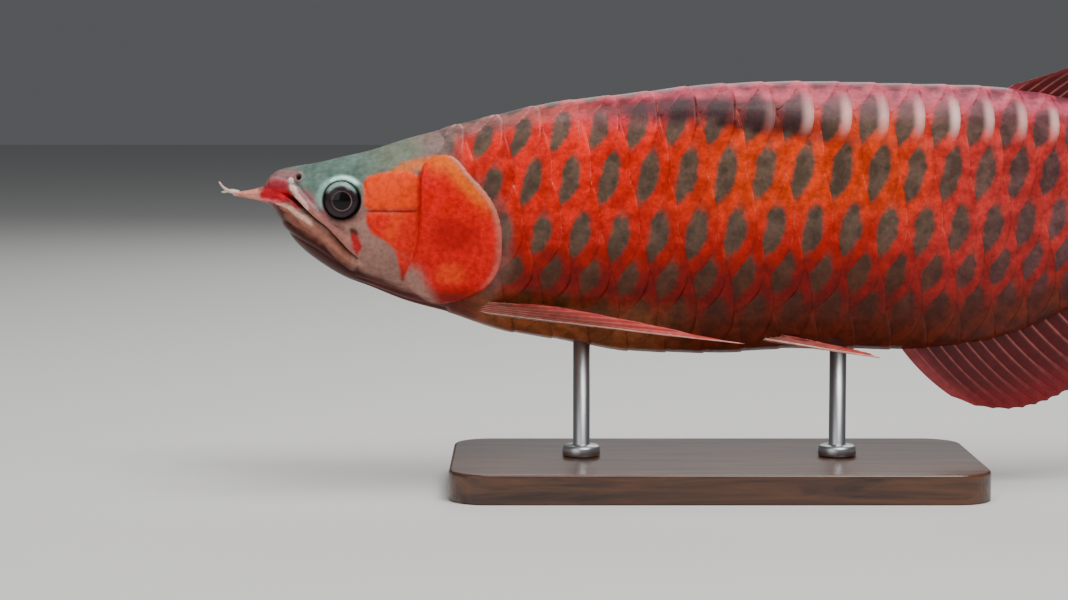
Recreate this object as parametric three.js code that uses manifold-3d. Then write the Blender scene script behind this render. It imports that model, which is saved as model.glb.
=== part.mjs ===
// Asian arowana, a still life-size model held over a flat base by two rods.
// Millimetres, +Z up. The fish faces -X and shows its left flank to -Y.
// The body is drawn straight in its own frame (X back from the tip of the lower jaw,
// Z up from the level of that tip), then swayed at the tail and set over the base.
import * as THREE from 'three';
import { mergeVertices } from 'three/addons/utils/BufferGeometryUtils.js';
import Module from 'manifold-3d';

const wasm = await Module();
wasm.setup();

// Driving dimensions
const GAP = 0.3; // clearance between touching sub-parts
const BODY_LENGTH = 502; // jaw tip to the root of the tail fin
const NECK_X = 102; // back of the skull
const WAIST_X = 308; // just ahead of the anal fin
const SWAY_START_X = 330;
const TAIL_SWAY = 14; // sideways swing of the body's end
const BASE_LENGTH = 250;
const BASE_WIDTH = 120;
const BASE_HEIGHT = 14;
const BASE_CORNER = 18;
const BASE_CORNER_STEPS = 6;
const BASE_MIDDLE_X = 228; // fish X over the middle of the base
const FISH_LIFT = 130; // height of the jaw tip's level over the underside of the base
const ROD_RADIUS = 4;
const COLLAR_RADIUS = 9;
const COLLAR_HEIGHT = 5;
const ROD_SIDES = 24;
const COLLAR_BEVEL = 1.5;
const ROD_X = [165, 287];
const ROD_INTO_BODY = 12; // a rod is drawn this far past the belly's line, then cut to the body
const EYE = { x: 53.1, z: 6.7, radius: 9, depth: 5.2, sink: 2.2 };

// Sections along the body: x, top, bottom, half width
const SECTIONS = [
  [0, 9.5, 8.3, 0.8],
  [3, 10, 7.6, 6],
  [8, 10.8, 6.7, 9.4],
  [14.5, 12.9, 5.2, 12],
  [18.4, 17.9, 3.1, 13.2],
  [22, 20.3, -2.6, 14],
  [30, 22.2, -14, 15.8],
  [39, 23.6, -21.8, 17.8],
  [53, 26.8, -30.4, 20],
  [64, 29.3, -34.6, 21.4],
  [82, 35, -41.8, 22.8],
  [102, 40.2, -47.4, 23.6],
  [128, 46.6, -55.3, 24.6],
  [152, 51.7, -59.2, 25.8],
  [190, 56.1, -65.2, 26.6],
  [227, 60.2, -66, 26.4],
  [267, 61.5, -63.8, 25.4],
  [317, 60.4, -64.3, 22.6],
  [352, 59.4, -61, 19.6],
  [378, 56.5, -54, 17],
  [392, 54, -47.2, 15.6],
  [430, 43, -31, 12],
  [462, 31.5, -18, 9.4],
  [484, 29.5, -15.4, 7.4],
  [502, 30, -16, 4.4],
];
const WIDEST_AT = 0.6; // height of the widest line as a share of the depth
const CROWN = 2.5; // how broad the back is
const KEEL_FALL = 1.9;
const KEEL_EDGE = 1.7; // how sharp the belly is

function throughPoints(pairs) {
  const slopes = pairs.slice(1).map(([x, y], i) => (y - pairs[i][1]) / (x - pairs[i][0]));
  const tangents = pairs.map((_, i) => {
    if (i === 0) return slopes[0];
    if (i === slopes.length) return slopes[i - 1];
    const [before, after] = [slopes[i - 1], slopes[i]];
    return before * after <= 0 ? 0 : (2 * before * after) / (before + after);
  });
  return (x) => {
    let i = 0;
    while (i < pairs.length - 2 && x > pairs[i + 1][0]) i += 1;
    const [x0, y0] = pairs[i];
    const [x1, y1] = pairs[i + 1];
    const span = x1 - x0;
    const t = THREE.MathUtils.clamp((x - x0) / span, 0, 1);
    const rise = t * t * (3 - 2 * t);
    return y0 + (y1 - y0) * rise
      + span * (tangents[i] * t * (1 - t) ** 2 - tangents[i + 1] * t * t * (1 - t));
  };
}

const topOf = throughPoints(SECTIONS.map(([x, top]) => [x, top]));
const bottomOf = throughPoints(SECTIONS.map(([x, , bottom]) => [x, bottom]));
const halfWidthOf = throughPoints(SECTIONS.map(([x, , , width]) => [x, width]));

// Half of the section at x, from the back's midline (0) round to the belly's (1), by girth
const SECTION_STEPS = 60;
function sectionAt(x, grow) {
  const [top, bottom, width] = [topOf(x) + grow, bottomOf(x) - grow, halfWidthOf(x) + grow];
  const widest = bottom + (top - bottom) * WIDEST_AT;
  const points = [];
  for (let i = 0; i <= SECTION_STEPS; i += 1) {
    const angle = (Math.PI * i) / SECTION_STEPS;
    const upper = angle < Math.PI / 2;
    const across = i % SECTION_STEPS ? Math.sin(angle) ** (2 / (upper ? 2 : KEEL_EDGE)) : 0;
    const fall = Math.abs(Math.cos(angle)) ** (2 / (upper ? CROWN : KEEL_FALL));
    const height = upper ? widest + (top - widest) * fall : widest - (widest - bottom) * fall;
    points.push([width * across, height]);
  }
  return points;
}

function pointOnSection(points, girth) {
  const lengths = [0];
  for (let i = 1; i < points.length; i += 1) {
    const step = Math.hypot(points[i][0] - points[i - 1][0], points[i][1] - points[i - 1][1]);
    lengths.push(lengths[i - 1] + step);
  }
  const wanted = girth * lengths[lengths.length - 1];
  let i = 0;
  while (i < points.length - 2 && wanted > lengths[i + 1]) i += 1;
  const t = Math.min(1, (wanted - lengths[i]) / (lengths[i + 1] - lengths[i]));
  return [0, 1].map((axis) => points[i][axis] + (points[i + 1][axis] - points[i][axis]) * t);
}

function halfWidthAt(x, z) {
  const [top, bottom, width] = [topOf(x), bottomOf(x), halfWidthOf(x)];
  const widest = bottom + (top - bottom) * WIDEST_AT;
  const upper = z > widest;
  const share = Math.min(1, upper ? (z - widest) / (top - widest) : (widest - z) / (widest - bottom));
  return width * (1 - share ** (upper ? CROWN : KEEL_FALL)) ** (1 / (upper ? 2 : KEEL_EDGE));
}

function solidFromTriangles(corners) {
  const geometry = new THREE.BufferGeometry();
  geometry.setAttribute('position', new THREE.Float32BufferAttribute(corners.flat(2), 3));
  const solid = solidFromGeometry(geometry);
  return solid.volume() > 0 ? solid : solidFromTriangles(corners.map(([a, b, c]) => [a, c, b]));
}

function solidFromGeometry(geometry) {
  const bare = geometry.clone();
  bare.deleteAttribute('normal');
  bare.deleteAttribute('uv');
  const welded = mergeVertices(bare, 1e-4);
  const index = welded.index.array;
  const kept = [];
  for (let i = 0; i < index.length; i += 3) {
    const [a, b, c] = index.slice(i, i + 3);
    if (a !== b && b !== c && c !== a) kept.push(a, b, c);
  }
  return new wasm.Manifold(new wasm.Mesh({
    numProp: 3,
    vertProperties: new Float32Array(welded.attributes.position.array),
    triVerts: new Uint32Array(kept),
  }));
}

// Two sets of lines, one a side, closed over the nose and the end
const mirrored = ([x, y, z]) => [x, -y, z];

function closedBody(strips) {
  const corners = [];
  const face = (a, b, c) => corners.push([a, b, c], [mirrored(a), mirrored(c), mirrored(b)]);
  const [topLine, bottomLine] = [strips[0][0], strips.at(-1).at(-1)];
  const middle = (above, below) => [above[0], 0, (above[2] + below[2]) / 2];
  const [nose, tail] = [middle(topLine[0], bottomLine[0]), middle(topLine.at(-1), bottomLine.at(-1))];
  for (const lines of strips) {
    for (let j = 0; j + 1 < lines.length; j += 1) {
      const [upper, lower] = [lines[j], lines[j + 1]];
      for (let n = 0; n + 1 < upper.length; n += 1) {
        face(upper[n], lower[n], lower[n + 1]);
        face(upper[n], lower[n + 1], upper[n + 1]);
      }
      face(nose, lower[0], upper[0]);
      face(tail, upper.at(-1), lower.at(-1));
    }
  }
  return solidFromTriangles(corners);
}

// Scales: rows round the body, each scale rising to its rear edge and dropping to the next.
// An edge is drawn from the middle of its row to the neighbouring rows' middles, where the
// neighbours' own edges start, so that the edges form one net.
const ROW_GIRTHS = [0, 0.17, 0.345, 0.54, 0.685, 0.82, 1]; // middles of the rows, back to belly
const SCALES_IN_ROW = 23;
const ROW_LAG = 0.25; // each row sits this share of a scale behind the row above
const SCALE_RISE = 0.7;
const SCALE_EDGE = 0.5; // run of the step at the rear edge
const SCALES_FROM_X = 106;
const SCALE_PITCH = 18;
const EVEN_SCALES = 9; // past this many the pitch shrinks towards the tail
const PITCH_LOSS = 0.2;
const STEPS_BETWEEN_ROWS = 3;
const HEAD_COLUMNS_FROM = 18;
const HEAD_COLUMNS_TO = 100;
const COLUMN_STEP = 6;
const NOSE_COLUMNS = [0, 1, 3, 6, 10, 14];

function scaleX(scale) {
  const past = Math.max(0, scale - EVEN_SCALES);
  return SCALES_FROM_X + SCALE_PITCH * scale - PITCH_LOSS * past * past;
}

// Rear edges met along one line round the body, as [x, rise] pairs
function edgesOnLine(row, between) {
  const edges = [];
  const curve = (t) => t * t;
  for (let scale = 0; scale <= SCALES_IN_ROW; scale += 1) {
    const below = ROW_LAG * (row + 1) + scale - ROW_LAG * curve(1 - between);
    const above = ROW_LAG * row + scale + 1 - (1 - ROW_LAG) * curve(between);
    edges.push(below);
    if (scale < SCALES_IN_ROW) edges.push(above);
  }
  return edges.flatMap((edge, i) => {
    const joined = between === 0 ? i % 2 === 1 : between === 1 && i % 2 === 0 && i + 1 < edges.length;
    const x = scaleX(edge);
    return joined ? [[x, SCALE_RISE], [x, SCALE_RISE]] : [[x, SCALE_RISE], [x + SCALE_EDGE, 0]];
  });
}

function columnsOnLine(row, between) {
  const columns = NOSE_COLUMNS.map((x) => [x, 0]);
  for (let x = HEAD_COLUMNS_FROM; x <= HEAD_COLUMNS_TO; x += COLUMN_STEP) columns.push([x, 0]);
  const edges = edgesOnLine(row, between);
  const lead = edges[0][0] - HEAD_COLUMNS_TO;
  const end = edges[edges.length - 1][0];
  columns.push([HEAD_COLUMNS_TO + lead / 2, 0], ...edges);
  return [...columns, [(end + BODY_LENGTH) / 2, 0], [BODY_LENGTH, 0]];
}

function bodySolid(grow) {
  const strips = [];
  for (let row = 0; row + 1 < ROW_GIRTHS.length; row += 1) {
    const lines = [];
    for (let step = 0; step <= STEPS_BETWEEN_ROWS; step += 1) {
      const between = step / STEPS_BETWEEN_ROWS;
      const girth = ROW_GIRTHS[row] + (ROW_GIRTHS[row + 1] - ROW_GIRTHS[row]) * between;
      const columns = columnsOnLine(row, between);
      lines.push(columns.map(([x, rise], n) => {
        const [across, height] = pointOnSection(sectionAt(x, grow + rise), girth);
        const past = n === 0 ? -grow : n === columns.length - 1 ? grow : 0;
        return [x + past, -across, height];
      }));
    }
    strips.push(lines);
  }
  return closedBody(strips);
}

// A plate that follows the flank inside an outline drawn from the side
function flankPlate(side, outline, rings, inner, outer) {
  const middle = [0, 1].map((axis) => outline.reduce((sum, p) => sum + p[axis] / outline.length, 0));
  const at = (ring, i, lift) => {
    const share = ring / rings;
    const p = outline[i % outline.length];
    const [x, z] = [0, 1].map((axis) => middle[axis] + (p[axis] - middle[axis]) * share);
    return [x, side * (halfWidthAt(x, z) + lift(share)), z];
  };
  const corners = [];
  const face = (a, b, c) => corners.push(side < 0 ? [a, b, c] : [a, c, b]);
  for (let i = 0; i < outline.length; i += 1) {
    for (let ring = 0; ring < rings; ring += 1) {
      const [a, b] = [at(ring, i, outer), at(ring + 1, i, outer)];
      const [c, d] = [at(ring + 1, i + 1, outer), at(ring, i + 1, outer)];
      const [e, f] = [at(ring, i, inner), at(ring + 1, i, inner)];
      const [g, h] = [at(ring + 1, i + 1, inner), at(ring, i + 1, inner)];
      face(a, b, c);
      face(a, c, d);
      face(e, g, f);
      face(e, h, g);
    }
    const [b, c] = [at(rings, i, outer), at(rings, i + 1, outer)];
    const [f, g] = [at(rings, i, inner), at(rings, i + 1, inner)];
    face(b, f, g);
    face(b, g, c);
  }
  return solidFromTriangles(corners);
}

function smoothOutline(points, count) {
  const curve = new THREE.CatmullRomCurve3(points.map(([x, z]) => new THREE.Vector3(x, 0, z)), true);
  return curve.getSpacedPoints(count).slice(0, count).map((p) => [p.x, p.z]);
}

function grownOutline(outline, distance) {
  const count = outline.length;
  return outline.map((p, i) => {
    const [before, after] = [outline[(i + count - 1) % count], outline[(i + 1) % count]];
    const along = new THREE.Vector2(after[0] - before[0], after[1] - before[1]).normalize();
    return [p[0] - along.y * distance, p[1] + along.x * distance];
  });
}

const WELL_CLEAR = 400; // a size well past the model's, for cutting shapes

function sidePrism(outline) {
  const shape = new THREE.Shape(outline.map(([x, z]) => new THREE.Vector2(x, z)));
  const geometry = new THREE.ExtrudeGeometry(shape, { depth: WELL_CLEAR, bevelEnabled: false, steps: 1 });
  geometry.rotateX(Math.PI / 2);
  geometry.translate(0, WELL_CLEAR / 2, 0);
  return solidFromGeometry(geometry);
}

function slab(from, to) {
  const geometry = new THREE.BoxGeometry(to - from, WELL_CLEAR, WELL_CLEAR);
  geometry.translate((from + to) / 2, 0, 0);
  return solidFromGeometry(geometry);
}

const SLIVER = 0.02; // cuts may shift a surface this little to drop needle triangles
function largest(solid) {
  const [kept] = solid.decompose().sort((a, b) => b.volume() - a.volume());
  return kept.asOriginal().simplify(SLIVER);
}

// Outlines seen from the side, x and z, clockwise
const JAW_OUTLINE = [
  [-10, -40], [-10, 30], [14.2, 30], [14.6, 13], [28.3, 8.4], [38.8, -1.2], [46, -6.9],
  [53.1, -15.5], [59.3, -21], [66, -28], [77, -48], [60, -60],
];
const GILL_COVER_OUTLINE = [
  [90.5, 22], [98, 27.5], [106, 26.5], [114.4, 17], [121.5, 9], [126.2, 0], [127.8, -12],
  [126, -26], [118, -36], [104, -41.5], [92, -41], [82.5, -31], [88, -14], [89.6, 4],
];
const UPPER_LIP = [[20, 15.2], [28.3, 13], [36.4, 4.5], [43.6, -2.1], [53.1, -10.7], [60, -19]];
const LOWER_LIP = [[20, 7.6], [28.3, 4.6], [37, -5], [44.5, -11], [51, -18.6], [57, -24.4]];
const UPPER_CHEEK = [
  [64.5, 17], [76, 20], [87.5, 19], [88, 10], [87.5, 3], [76, 2.6], [65, 3.2], [63.8, 10],
];
const LOWER_CHEEK = [
  [65, 0.8], [76, 1], [87.4, 1], [87, -8], [84.6, -19], [79, -17], [73, -12], [66.5, -7.5],
];
const CHEEK_RISE = 0.6;
const CHEEK_SUNK = 2;
const CHEEK_RINGS = 2;
// A peg: its place, radius, height over the skin and depth under it
const NOSTRIL_RIM = { at: [32.4, 17.2], radius: 1.9, proud: 0.7, sunk: 2 };
const NOSTRIL_PIT = { at: [32.4, 17.2], radius: 1.1, proud: 3, sunk: 2.4 };
const FRONT_NOSTRIL = { at: [28.6, 15.8], radius: 1, proud: 2.2, sunk: 2 };
const PEG_SIDES = 10;
// Half width of a lip at its ends and how much it gains by its middle
const UPPER_LIP_HALF = { ends: 1, swell: 0.9 };
const LOWER_LIP_HALF = { ends: 1.2, swell: 1.1 };
const LIP_STEPS = 12;
const LID_RADIUS = 9.7;
const LID_THICKNESS = 1.3;
const LID_STEPS = 16;
const RIDGE_PROUD = 0.8; // height of a ridge as a share of its half width
const GILL_COVER_DEPTH = 3.5;
const GILL_COVER_RISE = 0.8;
const GILL_COVER_CROWN = 1.2;
const GILL_COVER_RINGS = 3;
const GILL_RECESS_REACH = 8; // height of the cut over the flank

const bodyFilled = bodySolid(0);
const bodyClear = bodySolid(GAP);
const gillOutline = smoothOutline(GILL_COVER_OUTLINE, 26);

function eyeSolid(side, grow) {
  const geometry = new THREE.SphereGeometry(1, 18, 12);
  geometry.scale(EYE.radius + grow, EYE.depth + grow, EYE.radius + grow);
  geometry.translate(EYE.x, side * (halfWidthAt(EYE.x, EYE.z) - EYE.sink), EYE.z);
  return solidFromGeometry(geometry);
}

function gillCover(side) {
  const outer = (share) => GILL_COVER_RISE + GILL_COVER_CROWN * (1 - share * share);
  return flankPlate(side, gillOutline, GILL_COVER_RINGS, () => -GILL_COVER_DEPTH, outer);
}

function gillRecess(side) {
  const outline = grownOutline(gillOutline, GAP);
  return flankPlate(side, outline, GILL_COVER_RINGS, () => -GILL_COVER_DEPTH - GAP, () => GILL_RECESS_REACH);
}

// A round ridge that follows the flank along a path drawn from the side, half sunk in it
function flankRidge(side, path, radiusAt, closed) {
  const SIDES = 6;
  const count = path.length;
  const rings = path.map(([x, z], i) => {
    const before = path[closed ? (i + count - 1) % count : Math.max(0, i - 1)];
    const after = path[closed ? (i + 1) % count : Math.min(count - 1, i + 1)];
    const along = new THREE.Vector2(after[0] - before[0], after[1] - before[1]).normalize();
    const radius = radiusAt(i / (count - 1));
    const surface = halfWidthAt(x, z);
    return Array.from({ length: SIDES }, (_, k) => {
      const angle = (2 * Math.PI * k) / SIDES;
      const across = radius * Math.sin(angle);
      const out = surface + RIDGE_PROUD * radius * Math.cos(angle);
      return [x - along.y * across, side * out, z + along.x * across];
    });
  });
  const corners = [];
  for (let i = 0; i + 1 < count || (closed && i < count); i += 1) {
    for (let k = 0; k < SIDES; k += 1) {
      const [p, q] = [rings[i][k], rings[i][(k + 1) % SIDES]];
      const next = rings[(i + 1) % count];
      corners.push([p, q, next[(k + 1) % SIDES]], [p, next[(k + 1) % SIDES], next[k]]);
    }
  }
  for (let k = 1; !closed && k + 1 < SIDES; k += 1) {
    corners.push([rings[0][0], rings[0][k + 1], rings[0][k]]);
    corners.push([rings.at(-1)[0], rings.at(-1)[k], rings.at(-1)[k + 1]]);
  }
  return solidFromTriangles(corners);
}

function smoothPath(points, count) {
  const curve = new THREE.CatmullRomCurve3(points.map(([x, z]) => new THREE.Vector3(x, 0, z)));
  return curve.getSpacedPoints(count).map((p) => [p.x, p.z]);
}

const lidPath = Array.from({ length: LID_STEPS }, (_, i) => {
  const angle = (2 * Math.PI * i) / LID_STEPS;
  return [EYE.x + LID_RADIUS * Math.cos(angle), EYE.z + LID_RADIUS * Math.sin(angle)];
});

// A short peg or pit square to the head's surface
function headPeg(side, { at: [x, z], radius, proud, sunk }) {
  const slope = (dx, dz) => halfWidthAt(x + dx, z + dz) - halfWidthAt(x - dx, z - dz);
  const outward = new THREE.Vector3(-slope(0.5, 0), side, -slope(0, 0.5)).normalize();
  const geometry = new THREE.CylinderGeometry(radius, radius, proud + sunk, PEG_SIDES);
  geometry.translate(0, (proud - sunk) / 2, 0);
  geometry.applyQuaternion(new THREE.Quaternion().setFromUnitVectors(new THREE.Vector3(0, 1, 0), outward));
  geometry.translate(x, side * halfWidthAt(x, z), z);
  return solidFromGeometry(geometry);
}

const swelling = (half) => (along) => half.ends + half.swell * Math.sin(Math.PI * along);
const cheek = (side, outline, count) => (
  flankPlate(side, smoothOutline(outline, count), CHEEK_RINGS, () => -CHEEK_SUNK, () => CHEEK_RISE)
);

let wholeBody = bodyFilled;
for (const side of [-1, 1]) {
  const forms = [
    flankRidge(side, lidPath, () => LID_THICKNESS, true),
    flankRidge(side, smoothPath(UPPER_LIP, LIP_STEPS), swelling(UPPER_LIP_HALF), false),
    flankRidge(side, smoothPath(LOWER_LIP, LIP_STEPS), swelling(LOWER_LIP_HALF), false),
    cheek(side, UPPER_CHEEK, 14),
    cheek(side, LOWER_CHEEK, 16),
    headPeg(side, NOSTRIL_RIM),
    headPeg(side, FRONT_NOSTRIL),
  ];
  for (const form of forms) wholeBody = wholeBody.add(form);
  wholeBody = wholeBody.subtract(headPeg(side, NOSTRIL_PIT));
}
const lowerJaw = largest(wholeBody.intersect(sidePrism(JAW_OUTLINE)));
let upperBody = wholeBody.subtract(sidePrism(grownOutline(JAW_OUTLINE, GAP)));
for (const side of [-1, 1]) {
  upperBody = upperBody.subtract(gillRecess(side)).subtract(eyeSolid(side, GAP));
}
const head = largest(upperBody.intersect(slab(-20, NECK_X)));
const torso = largest(upperBody.intersect(slab(NECK_X + GAP, WAIST_X)));
const tail = largest(upperBody.intersect(slab(WAIST_X + GAP, BODY_LENGTH + 10)));

// Fins: a membrane between rays. A ray is a list of points from inside its root to its tip.
function finSolid(rays, halfThicknessAt, across) {
  const corners = [];
  const last = rays[0].length - 1;
  const at = (column, step, side) => {
    const p = rays[column][step];
    const half = side * halfThicknessAt(column, step / last);
    return [p[0] + across[0] * half, p[1] + across[1] * half, p[2] + across[2] * half];
  };
  for (let c = 0; c + 1 < rays.length; c += 1) {
    for (let s = 0; s < last; s += 1) {
      for (const side of [-1, 1]) {
        const [p, q] = [at(c, s, side), at(c + 1, s, side)];
        const [r, t] = [at(c + 1, s + 1, side), at(c, s + 1, side)];
        corners.push(side < 0 ? [p, r, q] : [p, q, r], side < 0 ? [p, t, r] : [p, r, t]);
      }
    }
    for (const [step, flip] of [[0, false], [last, true]]) {
      const [p, q] = [at(c, step, -1), at(c + 1, step, -1)];
      const [r, t] = [at(c + 1, step, 1), at(c, step, 1)];
      corners.push(flip ? [p, r, q] : [p, q, r], flip ? [p, t, r] : [p, r, t]);
    }
  }
  for (const [column, flip] of [[0, true], [rays.length - 1, false]]) {
    for (let s = 0; s < last; s += 1) {
      const [p, q] = [at(column, s, -1), at(column, s + 1, -1)];
      const [r, t] = [at(column, s + 1, 1), at(column, s, 1)];
      corners.push(flip ? [p, r, q] : [p, q, r], flip ? [p, t, r] : [p, r, t]);
    }
  }
  return solidFromTriangles(corners);
}

const RAY_STEPS = 4;
const ROOT_SUNK = 4;

function bentRay(root, length, startAngle, endAngle) {
  const points = [];
  const radians = THREE.MathUtils.degToRad;
  const [x, z] = root;
  const start = radians(startAngle);
  points.push([x - ROOT_SUNK * Math.cos(start), 0, z - ROOT_SUNK * Math.sin(start)]);
  for (let s = 0; s <= RAY_STEPS; s += 1) {
    const along = s / RAY_STEPS;
    const angle = radians(startAngle + (endAngle - startAngle) * along * 0.5);
    points.push([x + length * along * Math.cos(angle), 0, z + length * along * Math.sin(angle)]);
  }
  return points;
}

const MEMBRANE = 0.3; // half thickness between rays
const RAY_TIP = 0.45; // half thickness of a ray at the margin
const MEMBRANE_ROOT_GAIN = 0.25; // the membrane is this much thicker at its root
const NOTCH = 0.98; // length of the membrane against its rays
const RAY_ROOT = { median: 0.95, caudal: 1.3, pectoral: 1.4, pelvic: 1.1 }; // half thickness

// Even columns are rays, odd ones the membrane between them
const rayed = (root) => (column, along) => {
  const ray = root + (RAY_TIP - root) * along;
  return column % 2 ? Math.min(ray, MEMBRANE + MEMBRANE_ROOT_GAIN * (1 - along)) : ray;
};
const notched = (column) => (column % 2 ? NOTCH : 1);

// Rays lean at a start angle by the body and bend half way to an end angle, both less towards the rear
const DORSAL = { from: 364.7, to: 460, rays: 20, sunk: 0.5, start: 40, startFall: 8, end: 26, endFall: 8 };
const dorsalLength = throughPoints([
  [0, 5], [0.05, 12], [0.12, 24], [0.25, 42], [0.45, 52], [0.7, 51], [0.9, 45], [1, 38],
]);
const dorsalRays = [];
for (let i = 0; i <= 2 * DORSAL.rays - 2; i += 1) {
  const share = i / (2 * DORSAL.rays - 2);
  const x = DORSAL.from + (DORSAL.to - DORSAL.from) * share;
  const length = dorsalLength(share) * notched(i);
  const [start, end] = [DORSAL.start - DORSAL.startFall * share, DORSAL.end - DORSAL.endFall * share];
  dorsalRays.push(bentRay([x, topOf(x) - DORSAL.sunk], length, start, end));
}

const ANAL = { from: 316.6, to: 472, rays: 26, sunk: 0.5, start: -54, startFall: -14, end: -34, endFall: -6 };
const analLength = throughPoints([
  [0, 34], [0.05, 42], [0.15, 46], [0.35, 41], [0.6, 37], [0.85, 34], [1, 28],
]);
const analRays = [];
for (let i = 0; i <= 2 * ANAL.rays - 2; i += 1) {
  const share = i / (2 * ANAL.rays - 2);
  const x = ANAL.from + (ANAL.to - ANAL.from) * share;
  const length = analLength(share) * notched(i);
  const [start, end] = [ANAL.start - ANAL.startFall * share, ANAL.end - ANAL.endFall * share];
  analRays.push(bentRay([x, bottomOf(x) + ANAL.sunk], length, start, end));
}

const CAUDAL = { x: BODY_LENGTH - 3, middle: 7, half: 20, spread: 29, length: 88, rays: 15, rounding: 0.2 };
const caudalRays = [];
for (let i = 0; i <= 2 * CAUDAL.rays - 2; i += 1) {
  const side = (2 * i) / (2 * CAUDAL.rays - 2) - 1;
  const angle = CAUDAL.spread * side;
  const length = CAUDAL.length * (1 - CAUDAL.rounding * side * side) * notched(i);
  caudalRays.push(bentRay([CAUDAL.x, CAUDAL.middle + CAUDAL.half * side], length, angle, angle));
}

// A paired fin: rays from a short root fan to points along its margin
function pairedRays(side, fin) {
  const marginCurve = new THREE.CatmullRomCurve3(fin.margin.map((p) => new THREE.Vector3(...p)));
  const rays = [];
  for (let i = 0; i <= 2 * fin.rays - 2; i += 1) {
    const share = i / (2 * fin.rays - 2);
    const start = new THREE.Vector3(...fin.root[0]).lerp(new THREE.Vector3(...fin.root[1]), share);
    const tip = start.clone().lerp(marginCurve.getPoint(share), notched(i));
    const points = [];
    for (let s = 0; s <= RAY_STEPS + 1; s += 1) {
      const along = s / (RAY_STEPS + 1);
      const point = start.clone().lerp(tip, along);
      const arch = fin.arch * Math.sin(Math.PI * along);
      points.push([point.x, side * (point.y + arch), point.z]);
    }
    rays.push(points);
  }
  return rays;
}

const PECTORAL = {
  rays: 7,
  arch: 3,
  root: [[108, 15, -46], [110, 14, -41.5]],
  margin: [
    [239, 42, -58], [222, 36, -55.5], [200, 31, -51], [178, 27, -47], [158, 24, -43.5], [142, 23, -41.5],
  ],
};
const PELVIC = {
  rays: 6,
  arch: 1,
  root: [[240, 5, -58], [248, 4, -56]],
  margin: [[303.5, 25, -66.3], [298, 21, -64.5], [290, 17, -63], [280, 14.5, -61], [270, 13, -59]],
};

const barbelCurve = (side) => new THREE.CatmullRomCurve3([
  new THREE.Vector3(2.5, side * 2.6, 9.6),
  new THREE.Vector3(-1.2, side * 3.2, 10.4),
  new THREE.Vector3(-4.2, side * 4, side < 0 ? 12.4 : 9.8),
  new THREE.Vector3(-6, side * 4.6, side < 0 ? 15 : 9.6),
]);

const BARBEL = { rootRadius: 0.95, tipRadius: 0.35, sides: 8, steps: 8 };

function barbelSolid(side) {
  const curve = barbelCurve(side);
  const frames = curve.computeFrenetFrames(BARBEL.steps);
  const rings = curve.getPoints(BARBEL.steps).map((middle, i) => {
    const radius = BARBEL.rootRadius + (BARBEL.tipRadius - BARBEL.rootRadius) * (i / BARBEL.steps);
    return Array.from({ length: BARBEL.sides }, (_, k) => {
      const angle = (2 * Math.PI * k) / BARBEL.sides;
      return middle.clone().addScaledVector(frames.normals[i], radius * Math.cos(angle))
        .addScaledVector(frames.binormals[i], radius * Math.sin(angle)).toArray();
    });
  });
  const corners = [];
  for (let i = 0; i < BARBEL.steps; i += 1) {
    for (let k = 0; k < BARBEL.sides; k += 1) {
      const next = (k + 1) % BARBEL.sides;
      const [p, q] = [rings[i][k], rings[i][next]];
      const [r, t] = [rings[i + 1][next], rings[i + 1][k]];
      corners.push([p, q, r], [p, r, t]);
    }
  }
  for (let k = 1; k + 1 < BARBEL.sides; k += 1) {
    corners.push([rings[0][0], rings[0][k + 1], rings[0][k]]);
    corners.push([rings.at(-1)[0], rings.at(-1)[k], rings.at(-1)[k + 1]]);
  }
  return solidFromTriangles(corners);
}

function rodSolid(x) {
  const foot = BASE_HEIGHT + GAP - FISH_LIFT;
  const top = bottomOf(x) + ROD_INTO_BODY;
  const profile = [
    [0, foot],
    [COLLAR_RADIUS, foot],
    [COLLAR_RADIUS, foot + COLLAR_HEIGHT - COLLAR_BEVEL],
    [COLLAR_RADIUS - COLLAR_BEVEL, foot + COLLAR_HEIGHT],
    [ROD_RADIUS, foot + COLLAR_HEIGHT],
    [ROD_RADIUS, top],
    [0, top],
  ];
  const geometry = new THREE.LatheGeometry(profile.map(([r, z]) => new THREE.Vector2(r, z)), ROD_SIDES);
  geometry.rotateX(Math.PI / 2);
  geometry.translate(x, 0, 0);
  return solidFromGeometry(geometry);
}

function baseSolid() {
  const [a, b, r] = [BASE_LENGTH / 2, BASE_WIDTH / 2, BASE_CORNER];
  const shape = new THREE.Shape();
  shape.absarc(a - r, b - r, r, 0, Math.PI / 2);
  shape.absarc(r - a, b - r, r, Math.PI / 2, Math.PI);
  shape.absarc(r - a, r - b, r, Math.PI, 1.5 * Math.PI);
  shape.absarc(a - r, r - b, r, 1.5 * Math.PI, 2 * Math.PI);
  const geometry = new THREE.ExtrudeGeometry(shape, {
    depth: BASE_HEIGHT,
    bevelEnabled: false,
    curveSegments: BASE_CORNER_STEPS,
  });
  geometry.translate(BASE_MIDDLE_X, 0, -FISH_LIFT);
  return solidFromGeometry(geometry);
}

const offBody = (solid) => largest(solid.subtract(bodyClear));
const MEDIAN_NORMAL = [0, 1, 0];
const PAIRED_NORMAL = { y: 0.35, z: 0.94 }; // the paired fins lie nearly flat
function pairedNormal(side) {
  return new THREE.Vector3(0, side * PAIRED_NORMAL.y, PAIRED_NORMAL.z).normalize().toArray();
}

const COLOURS = {
  skin: 0x8d7a72,
  scale: 0xe0402a,
  gill: 0xe81808,
  fin: 0xb84a50,
  eye: 0x3a2c30,
  barbel: 0xd8c0b0,
  wood: 0x4a2e1e,
  steel: 0xb8bcc0,
};
const group = new THREE.Group();

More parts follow.
